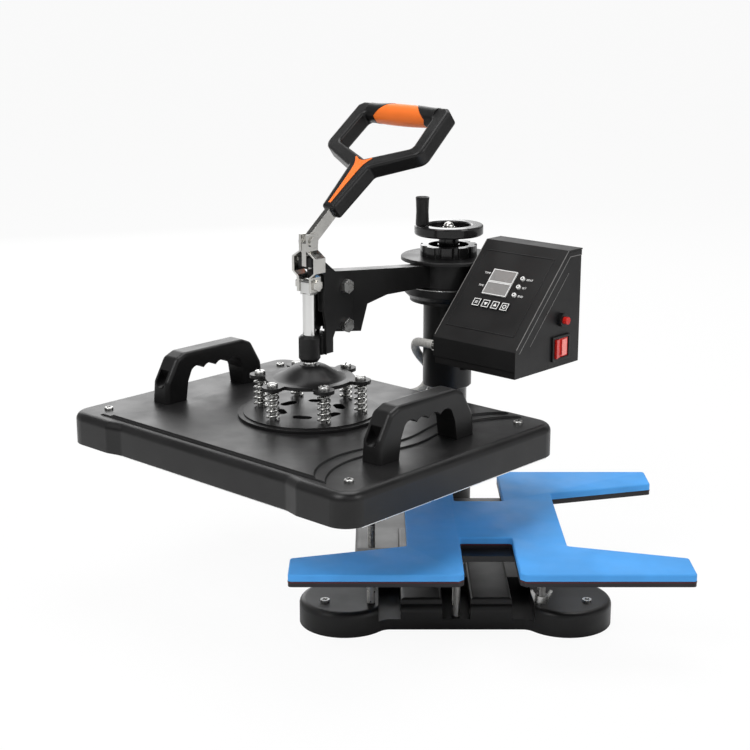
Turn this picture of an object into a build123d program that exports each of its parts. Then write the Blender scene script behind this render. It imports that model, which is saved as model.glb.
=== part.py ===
from build123d import *
import math
import os

# Swing-away heat press on a round column, head swung to the left as it stands when open.
# Millimetres. Origin: centre of the base's footprint on the table. +X right, +Y to the
# back, +Z up. Pieces of the head are drawn with the column's axis at the origin and the
# head pointing to -Y, then turned about the column and set back to it.

# Base
base_half_width = 156.0
base_half_depth = 164.0
lobe_radius = 46.0
waist_half_width = 102.0
middle_half_depth = 144.0
rear_corner = 30.0
base_height = 25.0
base_wall = 3.0
base_edge_round = 6.0
lobe_blend = 14.0
rib_inner = 14.0
rib_outer = 55.0
rib_height = 6.0
rib_front = 139.0
rib_back = 60.0
groove_floor = 11.0
outer_groove_width = 22.0
groove_length = 150.0
foot_screw_x = 130.0
foot_screw_y = 132.0
rear_foot_x = 76.0
rear_foot_y = 138.0
foot_radius = 15.0
foot_height = 6.0
foot_boss_radius = 8.0

# Column
column_y = 111.0
post_radius = 22.0
post_bore = 17.0
post_top = 282.0
socket_radius = 28.0
socket_top = 64.0
flange_half_width = 46.0
flange_half_depth = 27.0
flange_thickness = 8.0
socket_bolt_spacing_x = 68.0
socket_bolt_spacing_y = 34.0
socket_bolt_radius = 4.0

# Lower platen: an H-shaped board with a pad
board_centre_x = 28.6
board_centre_y = -72.5
board_half_width = 190.0
board_half_depth = 150.5
board_waist = 78.0
arm_tip_depth = 42.0
arm_root_depth = 74.0
notch_width = 52.0
notch_depth = 97.0
board_bottom = 78.0
board_thickness = 5.5
pad_thickness = 7.0
board_corner = 4.0
stud_radius = 4.0
stud_x = 84.3
front_stud_y = -134.0
rear_stud_y = 14.0
carrier_width = 22.0
carrier_thickness = 6.0
carrier_overhang = 14.0
nut_height = 6.0
nut_across_flats = 13.0

# Swing arm
swing_open = 42.6
sleeve_radius = 27.0
sleeve_bottom = 182.5
hub_bottom = 280.0
hub_radius = 42.0
hub_top = 320.0
lower_flange_radius = 48.0
lower_flange_thickness = 18.0
lower_flange_taper = 9.0
upper_disc_radius = 52.0
upper_disc_thickness = 4.0
hub_cap_thickness = 7.0
arm_reach = 216.0
arm_half_thickness = 9.0
running_fit = 0.05
air = 0.3

# Height adjustment
spindle_radius = 8.0
spindle_flange_radius = 13.0
spindle_flange_thickness = 3.5
collar_thickness = 4.0
lift_nut_height = 14.0
lift_pitch = 4.0
spindle_length_below = 76.0
lock_ring_radius = 31.0
lock_ring_height = 12.0
lock_ring_lobes = 10
wheel_bottom = 352.0
wheel_radius = 37.5
wheel_rim_height = 11.0
wheel_opening = 24.0
wheel_web = 4.0
wheel_hub_radius = 11.0
spindle_tip_radius = 4.0
dome_nut_radius = 5.8
dome_nut_across_flats = 13.0
knob_radius = 7.5
knob_height = 31.0
knob_offset = 30.5
knob_angle = 197.0 + swing_open
knob_pin_radius = 3.0

# Toggle clamp, in the plane of the arm; heights are above the table
crank_radius = 20.0
link_length = 42.7
pivot_height = 351.5
plunger_radius = 6.7
guide_radius = 11.0
guide_top = 277.0
guide_bottom = 250.0
lever_lean = 51.5
lever_bar_thickness = 6.0
lever_bar_depth = 13.0
lever_bar_end = 62.0
link_thickness = 3.0
link_bow = 13.5
pivot_radius = 3.5
clamp_plate_thickness = 3.0
bolt_radius = 4.0
bolt_head_height = 5.5
bolt_across_flats = 13.0

# Shovel-shaped lever frame; distances run along the lever from the link rivet
frame_thickness = 18.0
neck_start = 41.0
neck_half_width = 8.5
frame_half_width = 66.0
frame_fork = 99.0
frame_crotch = 110.0
frame_shoulder = 124.0
frame_top = 190.0
frame_bar = 15.0
grip_radius = 10.5
grip_half_length = 38.0

# Heater head
cover_half_width = 199.0
cover_half_depth = 155.0
cover_bottom = 159.5
cover_top = 192.0
cover_wall = 1.6
cover_corner = 22.0
cover_round = 8.0
cover_screw_x = 171.0
cover_screw_y = 123.0
corner_lobe_start = 136.0
side_recess_end = 118.0
side_recess = 4.5
field_height = 3.0
field_half_depth = 140.0
field_corner_x = 146.0
field_wave = [(130.0, 122.0), (117.0, 74.0), (129.0, 0.0)]
terrace_width = 15.0
platen_half_width = 190.0
platen_half_depth = 145.0
platen_bottom = 155.5
platen_thickness = 12.0
platen_corner = 14.0
insulation_thickness = 7.0
element_radius = 4.0
element_half_width = 130.0
element_half_depth = 80.0
element_bends = 4
float_travel = 6.0

# Spring plate and springs
spring_circle = 52.5
spring_count = 6
round_plate_radius = 73.5
round_plate_step = 68.0
round_plate_thickness = 4.5
spider_bottom = 230.0
spider_thickness = 3.6
spider_lobe_radius = 10.5
spider_waist_radius = 45.0
spider_dome_radius = 30.0
spider_dome_height = 13.4
spring_outer_radius = 6.9
spring_wire = 1.15
spring_turns = 5.5
spring_screw_radius = 3.0
spring_head_radius = 5.5
spring_head_height = 3.5

# Carrying handles on the cover
handle_offset = 150.0
handle_centre_shift = 4.0
handle_half_length = 69.0
handle_height = 52.0
handle_leg = 27.0
handle_bar = 17.0
handle_width = 24.0
finger_bumps = 4

# Control box, drawn to the arm's right
box_left = 52.0
box_right = 157.0
box_front = 82.0
box_back = -27.0
box_bottom = 232.0
box_nose = 260.0
box_top = 351.0
box_flat_back = 23.0
box_wall = 1.5
box_overhang = 1.2
window_width = 29.0
window_height = 13.4
window_rise = 1.0
key_size = 9.0
key_pitch = 12.2
key_count = 4
key_rise = 1.4
key_travel = 0.8
led_radius = 1.8
rocker_height = 252.0
rocker_forward = 6.0
rocker_length = 24.0
rocker_tall = 20.0
rocker_tilt = 7.0
rocker_pin_radius = 1.0
bezel_length = 30.0
bezel_tall = 26.0
bezel_rise = 2.2
reset_height = 281.6
holder_radius = 7.0
holder_length = 5.0
reset_radius = 3.9
reset_rise = 4.5
reset_travel = 2.0

# Heater lead
lead_radius = 4.7
gland_forward = 70.0
gland_height = 247.0
gland_radius = 7.5
gland_length = 11.0
lead_inlet_x = -60.0
lead_inlet_height = 177.0

parts = {}


def box_span(x, y, z):
    """Block between three pairs of limits."""
    middle = Pos((x[0] + x[1]) / 2, (y[0] + y[1]) / 2, (z[0] + z[1]) / 2)
    return middle * Box(x[1] - x[0], y[1] - y[0], z[1] - z[0])


def disc(radius, bottom, top, x=0.0, y=0.0):
    """Upright cylinder between two heights."""
    return Pos(x, y, (bottom + top) / 2) * Cylinder(radius, top - bottom)


def ring(radius, bore, bottom, top, x=0.0, y=0.0):
    """Upright ring between two heights."""
    return disc(radius, bottom, top, x, y) - disc(bore, bottom - 1, top + 1, x, y)


def cross_pin(radius, low, high, y, z):
    """Cylinder along the head's X direction."""
    return Pos((low + high) / 2, y, z) * Rot(0, 90, 0) * Cylinder(radius, high - low)


def plate(points, low, high):
    """Plate from a closed outline of (forward, height) points, from one side to the other."""
    outline = [(-forward, height) for forward, height in points]
    face = make_face(Polyline(*outline, close=True))
    return extrude(Plane.YZ.offset(low) * face, high - low)


def mirrored(shape):
    """The same piece on both sides of the head."""
    return shape + mirror(shape, about=Plane.YZ)


def group(solids):
    """Several separate solids kept in one node."""
    return Compound([solid for shape in solids for solid in shape.solids()])


def head(shape):
    """Turn a piece of the head about the column and set it back to the column."""
    return Pos(0, column_y, 0) * Rot(0, 0, -swing_open) * shape


def hexagon(across_flats, bottom, top, x=0.0, y=0.0):
    """Upright hexagonal prism."""
    face = RegularPolygon(across_flats / 2, 6, major_radius=False)
    return Pos(x, y, bottom) * extrude(face, top - bottom)


def base_outline(inset=0.0):
    """Middle block, rounded at the back, with two round lobes in front, drawn in by an inset."""
    depth = middle_half_depth + base_half_depth - 2 * inset
    block = Pos(0, (base_half_depth - middle_half_depth) / 2) * Rectangle(2 * (waist_half_width - inset), depth)
    face = fillet(block.vertices().group_by(Axis.Y)[-1], rear_corner - inset)
    for x in (-1, 1):
        centre = Pos(x * (base_half_width - lobe_radius), lobe_radius - base_half_depth)
        face += centre * Circle(lobe_radius - inset)
    return face


def foot_places():
    """Where the four rubber feet are."""
    front = [(x, -foot_screw_y) for x in (-foot_screw_x, foot_screw_x)]
    return front + [(x, rear_foot_y) for x in (-rear_foot_x, rear_foot_x)]


def groove_cutters(grow, floor):
    """Sunk channels of the deck: one between the ribs and one outside each rib."""
    depth_limits = (-groove_length - grow, -middle_half_depth + groove_length / 2 + grow)
    lower, upper = floor, base_height + rib_height + 5
    middle = box_span((-rib_inner - grow, rib_inner + grow), depth_limits, (lower, upper))
    side = box_span(
        (rib_outer - grow, rib_outer + outer_groove_width + grow), depth_limits, (lower, upper)
    )
    return middle + side + mirror(side, about=Plane.YZ)


def make_base():
    """Hollow pressed base with ribs, grooves and foot bosses."""
    blank = extrude(base_outline(), base_height)
    corners = blank.edges().filter_by(Axis.Z).filter_by(GeomType.LINE)
    inner = [e for e in corners if abs(e.center().X) > waist_half_width / 2 and e.center().Y < 0]
    blank = fillet(inner, lobe_blend)
    rim = blank.edges().group_by(Axis.Z)[-1]
    blank = fillet(rim, base_edge_round)
    rib = box_span((rib_inner, rib_outer), (-rib_front, rib_back), (groove_floor, base_height + rib_height))
    rib = fillet(rib.edges().group_by(Axis.Z)[-1], 3)
    blank = blank + rib + mirror(rib, about=Plane.YZ) - groove_cutters(0, groove_floor)
    cavity = extrude(base_outline(base_wall), base_height - base_wall)
    cavity = cavity - groove_cutters(base_wall, groove_floor - base_wall)
    shell = blank - cavity
    for x, y in foot_places():
        shell += disc(foot_boss_radius, foot_height, base_height - base_wall / 2, x, y)
        shell -= disc(2.6, 0, base_height + 1, x, y)
    for x, y in stud_places():
        shell -= disc(stud_radius + running_fit, -1, base_height + rib_height + 1, x, y)
    return shell


def stud_places():
    """Where the five support studs stand."""
    front = [(x, front_stud_y) for x in (-stud_x, 0.0, stud_x)]
    return front + [(x, rear_stud_y) for x in (-stud_x, stud_x)]


def stud_foot(x, y):
    """Height of the deck at a stud."""
    return groove_floor if x == 0.0 else base_height


def make_feet():
    """Rubber pads flush with the base's rim, and the screws that hold them."""
    pads, screws = [], []
    for x, y in foot_places():
        pads.append(disc(foot_radius, 0, foot_height, x, y) - disc(2.2, foot_height / 2, 30, x, y))
        shank = disc(2.2, foot_height / 2, base_height, x, y)
        screws.append(shank + disc(4.6, base_height, base_height + 2.4, x, y))
    parts["foot_pads"] = group(pads)
    parts["foot_screws"] = group(screws)


def board_outline():
    """H with arms that widen towards the middle and a notch in each end."""
    root = board_half_depth - arm_root_depth
    tip = board_half_depth - arm_tip_depth
    notch_end = board_half_depth - notch_depth
    quarter = [
        (notch_width / 2, notch_end),
        (notch_width / 2, board_half_depth - 5),
        (notch_width / 2 + 5, board_half_depth),
        (board_half_width, board_half_depth),
        (board_half_width, tip),
        (board_waist, root),
    ]
    right = quarter + [(x, -y) for x, y in reversed(quarter)]
    left = [(-x, -y) for x, y in right]
    face = make_face(Polyline(*right, *left, close=True))
    return Pos(board_centre_x, board_centre_y) * fillet(face.vertices(), board_corner * 0.9)


def make_board():
    """Board, silicone pad, carrier bars, studs with nuts, and the wing nut."""
    top = board_bottom + board_thickness
    parts["lower_board"] = Pos(0, 0, board_bottom) * extrude(board_outline(), board_thickness)
    pad = Pos(0, 0, top) * extrude(board_outline(), pad_thickness)
    parts["silicone_pad"] = pad
    bars, hardware = [], []
    for y in (front_stud_y, rear_stud_y):
        reach = stud_x + carrier_overhang
        low = board_bottom - carrier_thickness
        bar = box_span((-reach, reach), (y - carrier_width / 2, y + carrier_width / 2), (low, board_bottom))
        for x, stud_row in stud_places():
            if stud_row == y:
                bar -= disc(stud_radius + running_fit, low - 1, board_bottom + 1, x, y)
        bars.append(bar)
    parts["board_carriers"] = group(bars)
    bar_bottom = board_bottom - carrier_thickness
    for x, y in stud_places():
        foot = stud_foot(x, y)
        hardware.append(disc(stud_radius, foot - base_wall, board_bottom - 0.2, x, y))
        nut = hexagon(nut_across_flats, bar_bottom - nut_height, bar_bottom, x, y)
        hardware.append(nut - disc(stud_radius, 0, 99, x, y))
    parts["platen_studs"] = group(hardware)
    parts["wing_nut"] = make_wing_nut()


def make_wing_nut():
    """Wing nut standing on the deck round the right-hand front stud."""
    hub = ring(6.5, stud_radius + running_fit, 0, 8)
    wing = Plane.XZ * make_face(Polyline((5, 1), (7, 1), (9, 6), (11, 12), (8.5, 13), (5, 7), close=True))
    blade = Pos(0, 1.25, 0) * extrude(wing, 2.5)
    if blade.volume < 0:
        blade = Pos(0, 1.25, 0) * extrude(-wing, -2.5)
    nut = hub + blade
    nut += Rot(0, 0, 180) * blade
    return Pos(stud_x, front_stud_y, base_height) * nut


def make_column():
    """Socket on the base, its bolts, the post and the nut in the post's top."""
    seat = base_height
    wide = (-flange_half_width, flange_half_width)
    deep = (-flange_half_depth, flange_half_depth)
    flange = box_span(wide, deep, (seat, seat + flange_thickness))
    flange = fillet(flange.edges().filter_by(Axis.Z), 8)
    socket = flange + disc(socket_radius, seat, socket_top)
    socket -= disc(post_radius + running_fit, seat + 1, socket_top + 1)
    bolts = []
    for x in (-socket_bolt_spacing_x / 2, socket_bolt_spacing_x / 2):
        for y in (-socket_bolt_spacing_y / 2, socket_bolt_spacing_y / 2):
            socket -= disc(socket_bolt_radius + 0.2, seat - 1, seat + 20, x, y)
            shank = disc(socket_bolt_radius, seat, seat + flange_thickness, x, y)
            top = seat + flange_thickness
            bolts.append(shank + hexagon(bolt_across_flats, top, top + bolt_head_height, x, y))
    parts["column_socket"] = Pos(0, column_y, 0) * socket
    parts["socket_bolts"] = Pos(0, column_y, 0) * group(bolts)
    post = ring(post_radius, post_bore, seat + 1, post_top)
    parts["column_post"] = Pos(0, column_y, 0) * fillet(post.edges().group_by(Axis.Z)[-1], 1)
    nut = ring(post_bore, spindle_radius + running_fit, post_top - lift_nut_height, post_top)
    parts["lift_nut"] = Pos(0, column_y, 0) * nut


def make_arm():
    """Sleeve, hub with its discs, and the flat beam to the clamp."""
    sleeve = disc(sleeve_radius, sleeve_bottom, hub_bottom)
    sleeve = chamfer(sleeve.edges().group_by(Axis.Z)[0], 2.0)
    parts["arm_sleeve"] = head(sleeve - disc(post_radius + running_fit, 0, 400))
    hub = disc(lower_flange_radius, hub_bottom, hub_bottom + lower_flange_thickness)
    hub = chamfer(hub.edges().group_by(Axis.Z)[0], lower_flange_taper)
    hub += disc(hub_radius, hub_bottom, hub_top + hub_cap_thickness)
    disc_bottom = hub_top + hub_cap_thickness
    rim = disc(upper_disc_radius, disc_bottom - 2, disc_bottom - 2 + upper_disc_thickness)
    hub += fillet(rim.edges().group_by(Axis.Z)[-1], 1.2)
    hub -= disc(post_radius + running_fit, 0, hub_top)
    hub -= disc(spindle_radius + running_fit, 0, 400)
    parts["arm_hub"] = head(hub)
    profile = [
        (hub_radius - 3, 301.0),
        (110.0, 303.0),
        (140.0, 298.0),
        (150.0, 271.0),
        (188.0, 277.0),
        (188.0, 339.0),
        (142.0, 334.0),
        (upper_disc_radius + 2, hub_top + hub_cap_thickness - 2),
        (hub_radius - 3, hub_top + hub_cap_thickness - 2),
    ]
    beam = plate(profile, -arm_half_thickness, arm_half_thickness)
    beam -= disc(hub_radius, 0, 400)
    for height in bolt_heights():
        beam -= cross_pin(bolt_radius + 0.1, -20, 20, -bolt_forward(), height)
    parts["arm_beam"] = head(beam)


def bolt_heights():
    """Heights of the two clamp bolts."""
    return (282.6, 322.6)


def bolt_forward():
    """Distance of the clamp bolts from the column."""
    return 176.0


def make_clamp():
    """Side plates, bolts with nuts and the guide that the plunger slides in."""
    inner = arm_half_thickness
    outer = inner + clamp_plate_thickness
    reach = arm_reach
    side = plate(
        [
            (166.0, 276.0),
            (190.0, 280.0),
            (196.0, 268.0),
            (reach - guide_radius - 1, guide_bottom + 6),
            (reach - guide_radius - 1, guide_top + 8),
            (reach - 9.5, 300.0),
            (reach - 9.5, 344.0),
            (196.0, 342.0),
            (166.0, 331.0),
        ],
        inner,
        outer,
    )
    tongue = plate(
        [
            (188.6, 300.0),
            (reach - 9.5, 300.0),
            (reach - 9.5, 338.0),
            (reach - 7.0, 345.0),
            (reach + 5.0, 347.0),
            (reach + 5.0, 356.0),
            (reach - 5.0, 357.5),
            (188.6, 340.0),
        ],
        lever_bar_thickness / 2 + air,
        inner,
    )
    for height in bolt_heights():
        side -= cross_pin(bolt_radius + 0.1, 0, 20, -bolt_forward(), height)
    hole = cross_pin(pivot_radius, 0, 20, -reach, pivot_height)
    half = side + (tongue - hole)
    parts["clamp_plates"] = head(group([half, mirror(half, about=Plane.YZ)]))
    bolts = []
    for height in bolt_heights():
        shank = cross_pin(bolt_radius, -outer - 6, outer, -bolt_forward(), height)
        near = Rot(0, 90, 0) * hexagon(bolt_across_flats, 0, bolt_head_height)
        far = Rot(0, -90, 0) * hexagon(bolt_across_flats, 0, bolt_head_height)
        shank += Pos(outer, -bolt_forward(), height) * near
        shank += Pos(-outer, -bolt_forward(), height) * far
        bolts.append(shank)
    parts["clamp_bolts"] = head(group(bolts))
    guide = disc(guide_radius, guide_bottom, guide_top, 0, -reach)
    guide = chamfer(guide.edges().group_by(Axis.Z)[-1], 2.5)
    guide = chamfer(guide.edges().group_by(Axis.Z)[0], 3.5, 2.5)
    lug = box_span(
        (-inner, inner), (-reach + guide_radius - 3, -reach + guide_radius + 14), (guide_bottom + 6, guide_top - 1)
    )
    guide = guide + lug - disc(plunger_radius + running_fit, 0, 400, 0, -reach)
    parts["plunger_guide"] = head(guide)


def make_links():
    """Two links bowed outwards between the lever's rivet and the plunger's bolt."""
    top = pivot_height + crank_radius
    low = top - link_length
    at_bar = lever_bar_thickness / 2 + air
    at_plunger = plunger_radius + air
    centre = -arm_reach
    # Cross-section of the link as it runs down: near the lever, bowed out, near the plunger
    line = [
        (at_bar, top + 8),
        (at_bar, top - 8.5),
        (link_bow, top - 15),
        (link_bow, low + 13),
        (at_plunger, low + 8),
        (at_plunger, low - 7),
    ]
    outer = [(x + link_thickness, z) for x, z in reversed(line)]
    face = make_face(Polyline(*line, *outer, close=True))
    strip = Pos(0, centre + 7, 0) * extrude(Plane.XZ * face, 14)
    for height, face_at in ((top, at_bar), (low, at_plunger)):
        strip -= cross_pin(pivot_radius + 0.05, face_at - 1, face_at + link_thickness + 1, centre, height)
    parts["link_plates"] = head(group([strip, mirror(strip, about=Plane.YZ)]))
    hardware = []
    rivet = cross_pin(pivot_radius, -at_bar - link_thickness, at_bar + link_thickness, centre, top)
    rivet += mirrored(cross_pin(pivot_radius + 2, at_bar + link_thickness, at_bar + link_thickness + 2, centre, top))
    hardware.append(rivet)
    for side in (-1, 1):
        start = at_plunger
        stub = cross_pin(pivot_radius, start, start + link_thickness, centre, low)
        cap = Pos(start + link_thickness, centre, low) * Rot(0, 90, 0) * hexagon(10.0, 0, 4.0)
        piece = stub + cap
        hardware.append(piece if side > 0 else mirror(piece, about=Plane.YZ))
    parts["link_pins"] = head(group(hardware))


def along_lever(distance, across=0.0):
    """Point (forward, height) at a distance along the lever and square to it."""
    lean = math.radians(lever_lean)
    top = pivot_height + crank_radius
    forward = arm_reach - distance * math.sin(lean) + across * math.cos(lean)
    return (forward, top + distance * math.cos(lean) + across * math.sin(lean))


def make_lever():
    """Steel bar, fixed pivot pin, black frame and orange grip."""
    half = lever_bar_depth / 2
    top = pivot_height + crank_radius
    points = [
        (arm_reach + half, pivot_height - 4),
        (arm_reach + half, top - 1),
        along_lever(3, half),
        along_lever(lever_bar_end, half),
        along_lever(lever_bar_end, -half),
        along_lever(8, -half),
        (arm_reach - half, top - 9),
        (arm_reach - half, pivot_height - 4),
        (arm_reach - half + 3, pivot_height - 7),
        (arm_reach + half - 3, pivot_height - 7),
    ]
    bar = plate(points, -lever_bar_thickness / 2, lever_bar_thickness / 2)
    bar -= cross_pin(pivot_radius + running_fit, -9, 9, -arm_reach, top)
    bar -= cross_pin(pivot_radius, -9, 9, -arm_reach, pivot_height)
    parts["lever_bar"] = head(bar)
    reach = lever_bar_thickness / 2 + air + 5.8
    pin = cross_pin(pivot_radius - running_fit, -reach, reach, -arm_reach, pivot_height)
    parts["lever_pivot"] = head(pin)
    frame = make_frame_sketch()
    body = extrude(frame, frame_thickness / 2, both=True)
    body = fillet(body.edges().filter_by(Axis.Z, reverse=True), 3.5)
    slot = box_span(
        (-lever_bar_thickness / 2, lever_bar_thickness / 2), (neck_start - 5, lever_bar_end), (-half, half)
    )
    grip_centre = frame_top - frame_bar / 2
    hole = Pos(0, grip_centre, 0) * Rot(0, 90, 0) * Cylinder(grip_radius, 2 * grip_half_length)
    core = Pos(0, grip_centre, 0) * Rot(0, 90, 0) * Cylinder(6.0, 2 * grip_half_length)
    body = body - slot - hole + core
    grip = hole - core
    parts["lever_frame"] = head(place_on_lever(body))
    parts["lever_grip"] = head(place_on_lever(grip))


def place_on_lever(shape):
    """Set a piece drawn flat, +Y along the lever from the rivet, onto the lever."""
    top = pivot_height + crank_radius
    return Pos(0, -arm_reach, top) * Rot(90 - lever_lean, 0, 0) * shape


def make_frame_sketch():
    """Flat outline of the shovel-shaped frame with its hand opening."""
    edge = frame_half_width
    outer = [
        (-neck_half_width, neck_start),
        (neck_half_width, neck_start),
        (neck_half_width + 5.5, frame_fork),
        (edge, frame_shoulder),
        (edge - 3, frame_top - 5),
        (edge - 9, frame_top),
        (-edge + 9, frame_top),
        (-edge + 3, frame_top - 5),
        (-edge, frame_shoulder),
        (-neck_half_width - 5.5, frame_fork),
    ]
    inner = [
        (0, frame_crotch),
        (edge - 16, frame_shoulder + 7),
        (edge - 19, frame_top - frame_bar),
        (-edge + 19, frame_top - frame_bar),
        (-edge + 16, frame_shoulder + 7),
    ]
    outside = make_face(Polyline(*outer, close=True))
    opening = make_face(Polyline(*inner, close=True))
    shoulders = [v for v in outside.vertices() if abs(v.Y - frame_shoulder) < 1]
    outside = fillet(shoulders, 12.0)
    others = [v for v in outside.vertices() if v.Y < frame_fork + 1 or v.Y > frame_top - 6]
    return fillet(others, 3.0) - fillet(opening.vertices(), 5.0)


def make_plunger():
    """Plunger with its flat head, and the domed spring plate on its foot."""
    low = pivot_height + crank_radius - link_length
    rod = disc(plunger_radius, dome_top() - 6, low - 9, 0, -arm_reach)
    flat = Pos(0, -arm_reach, low - 2) * Box(2 * plunger_radius, 11, 16)
    flat = fillet(flat.edges().filter_by(Axis.X).group_by(Axis.Z)[-1], 4)
    parts["plunger_rod"] = head(rod + flat)
    plate_face = Circle(spider_waist_radius)
    for centre in spring_centres():
        plate_face += Pos(*centre) * Circle(spider_lobe_radius)
        bridge = Pos(*(0.5 * c for c in centre)) * Rot(0, 0, math.degrees(math.atan2(centre[1], centre[0])))
        plate_face += bridge * Rectangle(spring_circle, 1.7 * spider_lobe_radius)
    top = spider_bottom + spider_thickness
    body = extrude(plate_face, spider_thickness)
    body = Pos(0, 0, spider_bottom) * body
    rim = spider_waist_radius - 4
    foot, neck = (rim, top - 0.5), (12.0, dome_top() - 0.4)
    crown = Line((0, foot[1]), foot) + Spline(foot, (27.0, top + 4.6), neck, tangents=[(-1, 0.05), (-1, 0.25)])
    crown = crown + Line(neck, (0, neck[1])) + Line((0, neck[1]), (0, foot[1]))
    dome = revolve(Plane.XZ * make_face(crown), Axis.Z)
    inner = Pos(0, 0, spider_bottom) * Cone(rim - 8, 9.0, spider_dome_height - 2.0)
    hollow = Pos(0, 0, (spider_dome_height - 2.0) / 2) * inner
    body = body + dome - hollow
    body += disc(11.0, dome_top() - 14, dome_top())
    body -= disc(plunger_radius, dome_top() - 6, dome_top() + 1)
    for centre in spring_centres():
        body -= disc(spring_screw_radius + air, 0, 400, *centre)
    for angle in (70.0, 190.0):
        turn = Rot(0, 0, angle) * Pos(25.0, 0, top + 5)
        body -= turn * Rot(0, 20, 0) * extrude(SlotOverall(14.0, 7.0, rotation=90), 12, both=True)
    parts["spider_plate"] = head(Pos(0, -arm_reach, 0) * body)


def dome_top():
    """Height of the dome's top, where the plunger stands."""
    return spider_bottom + spider_thickness + spider_dome_height


def spring_centres():
    """Centres of the springs about the plunger's axis."""
    angles = [30.0 + 60.0 * i for i in range(spring_count)]
    turns = [math.radians(a) for a in angles]
    return [(spring_circle * math.cos(t), spring_circle * math.sin(t)) for t in turns]


def helix_point(t, radius, low, pitch):
    """Point and direction on a coil at t turns; end turns lie flatter."""
    turn = 2 * math.pi * t
    total = spring_turns
    flat = 0.5
    closed = 2 * spring_wire + 0.55
    if t < flat:
        height, slope = closed * t, closed
    elif t > total - flat:
        height = closed * flat + pitch * (total - 2 * flat) + closed * (t - total + flat)
        slope = closed
    else:
        height, slope = closed * flat + pitch * (t - flat), pitch
    point = Vector(radius * math.cos(turn), radius * math.sin(turn), low + height)
    rise = slope / (2 * math.pi)
    return point, Vector(-radius * math.sin(turn), radius * math.cos(turn), rise).normalized()


def biarc(start, tangent, end, end_tangent):
    """Two arcs that join two points with given directions."""
    chord = end - start
    both = tangent + end_tangent
    a = both.dot(both) - 4
    b = -2 * chord.dot(both)
    c = chord.dot(chord)
    reach = (-b - math.sqrt(b * b - 4 * a * c)) / (2 * a)
    if reach < 0:
        reach = (-b + math.sqrt(b * b - 4 * a * c)) / (2 * a)
    middle = (start + tangent * reach + end - end_tangent * reach) / 2
    first = Edge.make_tangent_arc(start, tangent, middle)
    second = Edge.make_tangent_arc(middle, first % 1, end)
    return [first, second]


def make_spring(low, high):
    """One coil spring swept as a single tube along quarter-turn biarcs."""
    radius = spring_outer_radius - spring_wire
    closed = 2 * spring_wire + 0.55
    span = high - low - 2 * spring_wire
    pitch = (span - closed) / (spring_turns - 1)
    edges = []
    steps = round(4 * spring_turns)
    for i in range(steps):
        a, a_dir = helix_point(i / 4, radius, low + spring_wire, pitch)
        b, b_dir = helix_point((i + 1) / 4, radius, low + spring_wire, pitch)
        edges += biarc(a, a_dir, b, b_dir)
    gap = least_gap(radius, low, pitch)
    print(f"spring: {spring_turns} turns, pitch {pitch:.2f} mm, least gap to itself {gap:.2f} mm")
    path = Wire(edges)
    section = Plane(origin=path @ 0, z_dir=path % 0) * Circle(spring_wire)
    return sweep(section, path)


def least_gap(radius, low, pitch):
    """Least gap between turns, measured on points a turn or so apart."""
    count = round(48 * spring_turns)
    points = [helix_point(spring_turns * i / count, radius, low, pitch)[0] for i in range(count + 1)]
    least = 1e9
    for i, p in enumerate(points):
        for q in points[i + 30:]:
            least = min(least, (p - q).length)
    return least - 2 * spring_wire


def make_platen_head():
    """Round plate, springs and screws, cover, handles, insulation, element and platen."""
    centre = Pos(0, -arm_reach, 0)
    seat = cover_top + field_height
    plate_top = seat + round_plate_thickness
    body = disc(round_plate_radius, seat, plate_top - 1.5) + disc(round_plate_step, seat, plate_top)
    for i in range(spring_count):
        turn = Rot(0, 0, 60.0 * i) * Pos(31.0, 0, seat - 1)
        body -= turn * extrude(SlotOverall(20.0, 11.0, rotation=90), 12)
    screws = []
    head_low = spider_bottom + spider_thickness
    for x, y in spring_centres():
        body -= disc(spring_screw_radius, 0, 400, x, y)
        screw = disc(spring_screw_radius, seat, head_low, x, y)
        cap = disc(spring_head_radius, head_low, head_low + spring_head_height, x, y)
        screws.append(screw + fillet(cap.edges().group_by(Axis.Z)[-1], 1.4))
    parts["round_plate"] = head(centre * body)
    parts["spring_screws"] = head(centre * group(screws))
    spring = make_spring(plate_top, spider_bottom)
    springs = [Pos(x, y, 0) * spring for x, y in spring_centres()]
    parts["platen_springs"] = head(centre * group(springs))
    make_cover(centre)
    make_heater(centre)
    make_handles(centre)


def raised_field(inset=0.0):
    """Outline of the cover's raised field, straight in front and behind and waved at both sides."""
    d = field_half_depth - min(inset, 0.0) * 0.1 - max(inset, 0.0)
    corner = (field_corner_x - inset, -d)
    front = [corner] + [(x - inset, -y) for x, y in field_wave]
    side = front + [(x, -y) for x, y in reversed(front[:-1])]
    other = [(-x, -y) for x, y in side]
    edges = Spline(*side) + Line(side[-1], other[0]) + Spline(*other) + Line(other[-1], side[0])
    return make_face(edges)


def cover_outline(inset=0.0):
    """Cover seen from above: full depth at the corners, recessed along the long sides."""
    w, d = cover_half_width - inset, cover_half_depth - inset
    run = [(w, d), (corner_lobe_start, d), (side_recess_end, d - side_recess)]
    top = run + [(-x, y) for x, y in reversed(run)]
    points = top + [(-x, -y) for x, y in top]
    face = make_face(Polyline(*points, close=True))
    corners = [v for v in face.vertices() if abs(v.X) > w - 1]
    face = fillet(corners, cover_corner - inset)
    steps = [v for v in face.vertices() if abs(v.X) < corner_lobe_start + 1]
    return fillet(steps, 12.0)


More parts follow.
